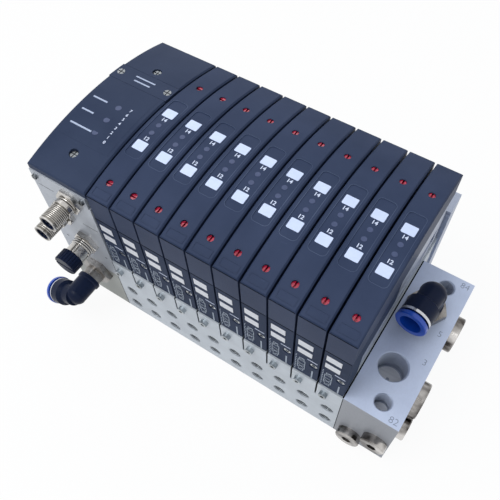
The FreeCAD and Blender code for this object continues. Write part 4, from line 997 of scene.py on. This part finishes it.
# The bus module is a wide housing of the same moulding, with a screwed cover over its address dials.
# The screws are steel with cross recesses, and the dials are moulded in pale plastic.
housing_plastic = moulded_plastic(
    "housing_plastic", light=paint(51, 62, 86), dark=paint(43, 54, 78), roughness=0.5,
    depth=COVER_DEPTH, gloss=COVER_GLOSS)
dress("bus_housing", housing_plastic)
dress("address_cover", housing_plastic)
screw_steel = plated_metal(
    "screw_steel", light=paint(150, 154, 158), dark=paint(96, 100, 104), roughness=0.36)
dress("housing_screws", screw_steel)
dial_plastic = smooth_finish(
    "dial_plastic", dark=paint(190, 190, 186), light=paint(214, 214, 210), roughness=0.45,
    clouds=(600.0, 2.0))
for number in (1, 2):
    dress("address_dial_%d" % number, dial_plastic)

# A foil is glued on the bus module round its three lamps. The numbers 0 to 7 are printed on it in
# white ink, and plain bars on it and on the address cover in pale grey ink.
bus_low, bus_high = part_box("bus_housing")
FOIL_LEFT = bus_low.x + 3.1 * MM
FOIL_RIGHT = bus_high.x - 3.3 * MM
FOIL_FRONT_Y = bus_low.y + 26.2 * MM
FOIL_REAR_Y = bus_low.y + 78.0 * MM
FOIL_THICKNESS = 0.08 * MM
FOIL_CORNER = 0.5 * MM
NUMBER_FIRST_X = bus_low.x + 35.0 * MM
NUMBER_FIRST_Y = bus_low.y + 33.4 * MM
NUMBER_LEAN = -0.18 * MM
NUMBER_STEP = 3.93 * MM
NUMBER_COUNT = 8
NUMBER_SIZE = 3.0 * MM
CAPTION_WIDTH = 1.15 * MM
CAPTIONS = (
    (5.5 * MM, 15.7 * MM, 59.2 * MM), (5.9 * MM, 14.1 * MM, 47.6 * MM), (6.3 * MM, 22.1 * MM, 35.8 * MM),
    (15.9 * MM, 30.3 * MM, 88.8 * MM), (17.5 * MM, 28.9 * MM, 84.8 * MM))
foil = rounded_plate(
    FOIL_LEFT, FOIL_RIGHT, FOIL_FRONT_Y, FOIL_REAR_Y, FOIL_THICKNESS, FOIL_CORNER, FOIL_THICKNESS / 3)
bend_to_arch(foil)
fit(foil, "lamp_foil", housing_plastic)
bus_numbers = []
for index in range(NUMBER_COUNT):
    mark = numeral(str(index), NUMBER_SIZE, PRINT_THICKNESS, BOLD / 2)
    move(
        mark, NUMBER_FIRST_X + index * NUMBER_LEAN, NUMBER_FIRST_Y + index * NUMBER_STEP,
        FOIL_THICKNESS + PRINT_LIFT)
    bend_to_arch(mark)
    bus_numbers.append(mark)
fit(joined(bus_numbers), "bus_numbers", white_ink)
bus_captions = []
for left, right, y in CAPTIONS:
    caption = ink_bar(left, y, right, y, CAPTION_WIDTH)
    move(caption, bus_low.x, bus_low.y, FOIL_THICKNESS)
    bend_to_arch(caption)
    bus_captions.append(caption)
caption_ink = flat_print("caption_ink", paint(176, 188, 214), roughness=0.6)
fit(joined(bus_captions), "bus_captions", caption_ink)

# The connector plate is a satin aluminium sheet, screwed to the front of the bus module. Fine lines
# are engraved in it, with two drilled marks.
plate_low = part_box("connector_plate")[0]
PLATE_LINES = ((3.5 * MM, 15.3 * MM, 76.4 * MM), (32.6 * MM, 44.6 * MM, 54.3 * MM))
PLATE_LINE_WIDTH = 0.45 * MM
DOTS = ((6.2 * MM, 20.6 * MM), (41.1 * MM, 19.7 * MM))
DOT_LENGTH = 0.6 * MM
DOT_SIZE = 1.1 * MM
plate_aluminium = aluminium(
    "plate_aluminium", light=paint(186, 191, 200), dark=paint(172, 178, 187), roughness=0.46,
    grain=(45.0, 700.0, 700.0))
dress("connector_plate", plate_aluminium)
plate_marks = [
    ink_bar(left, height, right, height, PLATE_LINE_WIDTH) for left, right, height in PLATE_LINES]
plate_marks += [ink_bar(left, height, left + DOT_LENGTH, height, DOT_SIZE) for left, height in DOTS]
plate_lines = joined(plate_marks)
face_front(plate_lines, plate_low.x, plate_low.y, plate_low.z)
dark_line = flat_print("dark_line", paint(92, 94, 98), roughness=0.7)
fit(plate_lines, "plate_lines", dark_line)

# The round connectors are turned brass, nickel plated, with a fine thread for the plug and a coarse
# one for the nut. A black insert carries the contacts, and a black cap closes the lowest.
FORWARDS = (0, -1, 0)
PLUG_THREAD_RADIUS = 5.95 * MM
PLUG_THREAD_PITCH = 1.15 * MM
PLUG_THREAD_TURNS = 9
PLUG_THREAD_TOOTH = 0.42 * MM
PLUG_THREAD_START = 1.5 * MM
MOUTH_RIM = (5.6 * MM, 6.2 * MM)
MOUTH_RIM_ENDS = (-0.05 * MM, 0.7 * MM)
BARREL_COLLAR = (5.8 * MM, 6.75 * MM)
BARREL_COLLAR_ENDS = (12.7 * MM, 15.2 * MM)
INSERT_RIM = (4.2 * MM, 4.85 * MM)
INSERT_RIM_ENDS = (0.1 * MM, 2.6 * MM)
NUT_THREAD_PITCH = 1.5 * MM
NUT_THREAD_TURNS = 3
NUT_THREAD_TOOTH = 0.85 * MM
NUT_THREAD_START = 3.6 * MM
NUT_THREAD_RADII = {
    "bus_in_connector": 6.0 * MM, "bus_out_connector": 6.0 * MM, "power_connector": 7.0 * MM}
BARREL_STEPS = 40
nickel = plated_metal("nickel_plate", light=paint(206, 204, 201), dark=paint(184, 181, 177), roughness=0.22)
dress("power_connector", nickel)
dress("connector_nuts", nickel)
worn_nickel = plated_metal(
    "worn_nickel", light=paint(146, 143, 137), dark=paint(104, 101, 95), roughness=0.34)
black_plastic = moulded_plastic(
    "black_plastic", light=paint(22, 32, 57), dark=paint(16, 25, 47), roughness=0.34,
    depth=0.012 * MM, gloss=COVER_GLOSS)
dress("contact_inserts", black_plastic)
dress("dust_cap", black_plastic)
connector_threads = []
insert_rims = []
for name in ("bus_in_connector", "bus_out_connector"):
    dress(name, worn_nickel)
    low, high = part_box(name)
    middle = (low + high) / 2
    thread = screw_thread(
        PLUG_THREAD_RADIUS, PLUG_THREAD_PITCH, PLUG_THREAD_TURNS, PLUG_THREAD_TOOTH, BARREL_STEPS)
    stand(thread, (middle.x, low.y + PLUG_THREAD_START, middle.z), REARWARDS)
    rim = turned_ring(MOUTH_RIM, MOUTH_RIM_ENDS, BARREL_STEPS)
    collar = turned_ring(BARREL_COLLAR, BARREL_COLLAR_ENDS, BARREL_STEPS)
    insert_rim = turned_ring(INSERT_RIM, INSERT_RIM_ENDS, BARREL_STEPS)
    for ring in (rim, collar, insert_rim):
        stand(ring, (middle.x, low.y, middle.z), REARWARDS)
    connector_threads += [thread, rim, collar]
    insert_rims.append(insert_rim)
for name, radius in NUT_THREAD_RADII.items():
    low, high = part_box(name)
    middle = (low + high) / 2
    thread = screw_thread(radius, NUT_THREAD_PITCH, NUT_THREAD_TURNS, NUT_THREAD_TOOTH, BARREL_STEPS)
    stand(thread, (middle.x, FRONT - NUT_THREAD_START, middle.z), FORWARDS)
    connector_threads.append(thread)
fit(joined(connector_threads), "connector_threads", nickel)
fit(joined(insert_rims), "insert_rims", black_plastic)

# The elbow fittings have a nickel plated stem, a black swivelling body whose mouth is held by a thin
# steel ring, and a blue release ring.
fitting_nickel = plated_metal(
    "fitting_nickel", light=paint(164, 161, 158), dark=paint(108, 105, 103), roughness=0.3)
ring_blue = smooth_finish(
    "ring_blue", dark=paint(14, 66, 168), light=paint(22, 80, 192), roughness=0.3,
    clouds=(260.0, 2.0), grain=(2000.0, 0.01 * MM), coat=0.3)
bright_steel = plated_metal(
    "bright_steel", light=paint(222, 224, 228), dark=paint(190, 192, 198), roughness=0.22)
MOUTH_RING_INSET = 0.3 * MM
MOUTH_RING_PROUD = 0.15 * MM
MOUTH_RING_STEPS = 64
MOUTH_RINGS = {
    "left": {"reach": 27.0 * MM, "radius": 9.4 * MM, "length": 17.8 * MM, "band": 0.9 * MM},
    "right": {"reach": 21.0 * MM, "radius": 10.2 * MM, "length": 22.4 * MM, "band": 1.8 * MM}}
for side, size in MOUTH_RINGS.items():
    dress(side + "_elbow_stem", fitting_nickel)
    dress(side + "_elbow_body", black_plastic)
    dress(side + "_release_ring", ring_blue)
    mouth_ring = turned_ring(
        (size["radius"] - MOUTH_RING_INSET, size["radius"] + MOUTH_RING_PROUD), (0.0, size["band"]),
        MOUTH_RING_STEPS)
    swivel = motions[side + "_elbow_swivel"]
    corner = Vector(swivel["pos_m"]) + Vector(swivel["axis"]) * size["reach"]
    outlet = -Vector(motions[side + "_ring_press"]["axis"])
    stand(mouth_ring, corner + outlet * (size["length"] + MOUTH_RING_PROUD - size["band"]), outlet)
    fit(mouth_ring, side + "_mouth_ring", bright_steel, side + "_elbow")

# The wiring duct along the back is an aluminium profile with a snapped-in lid. It is extruded, so
# its grain runs along it, and clear anodised.
duct_aluminium = aluminium(
    "duct_aluminium", light=paint(178, 186, 204), dark=paint(162, 170, 188), roughness=0.46,
    grain=MILLED_GRAIN)
dress("wiring_duct", duct_aluminium)
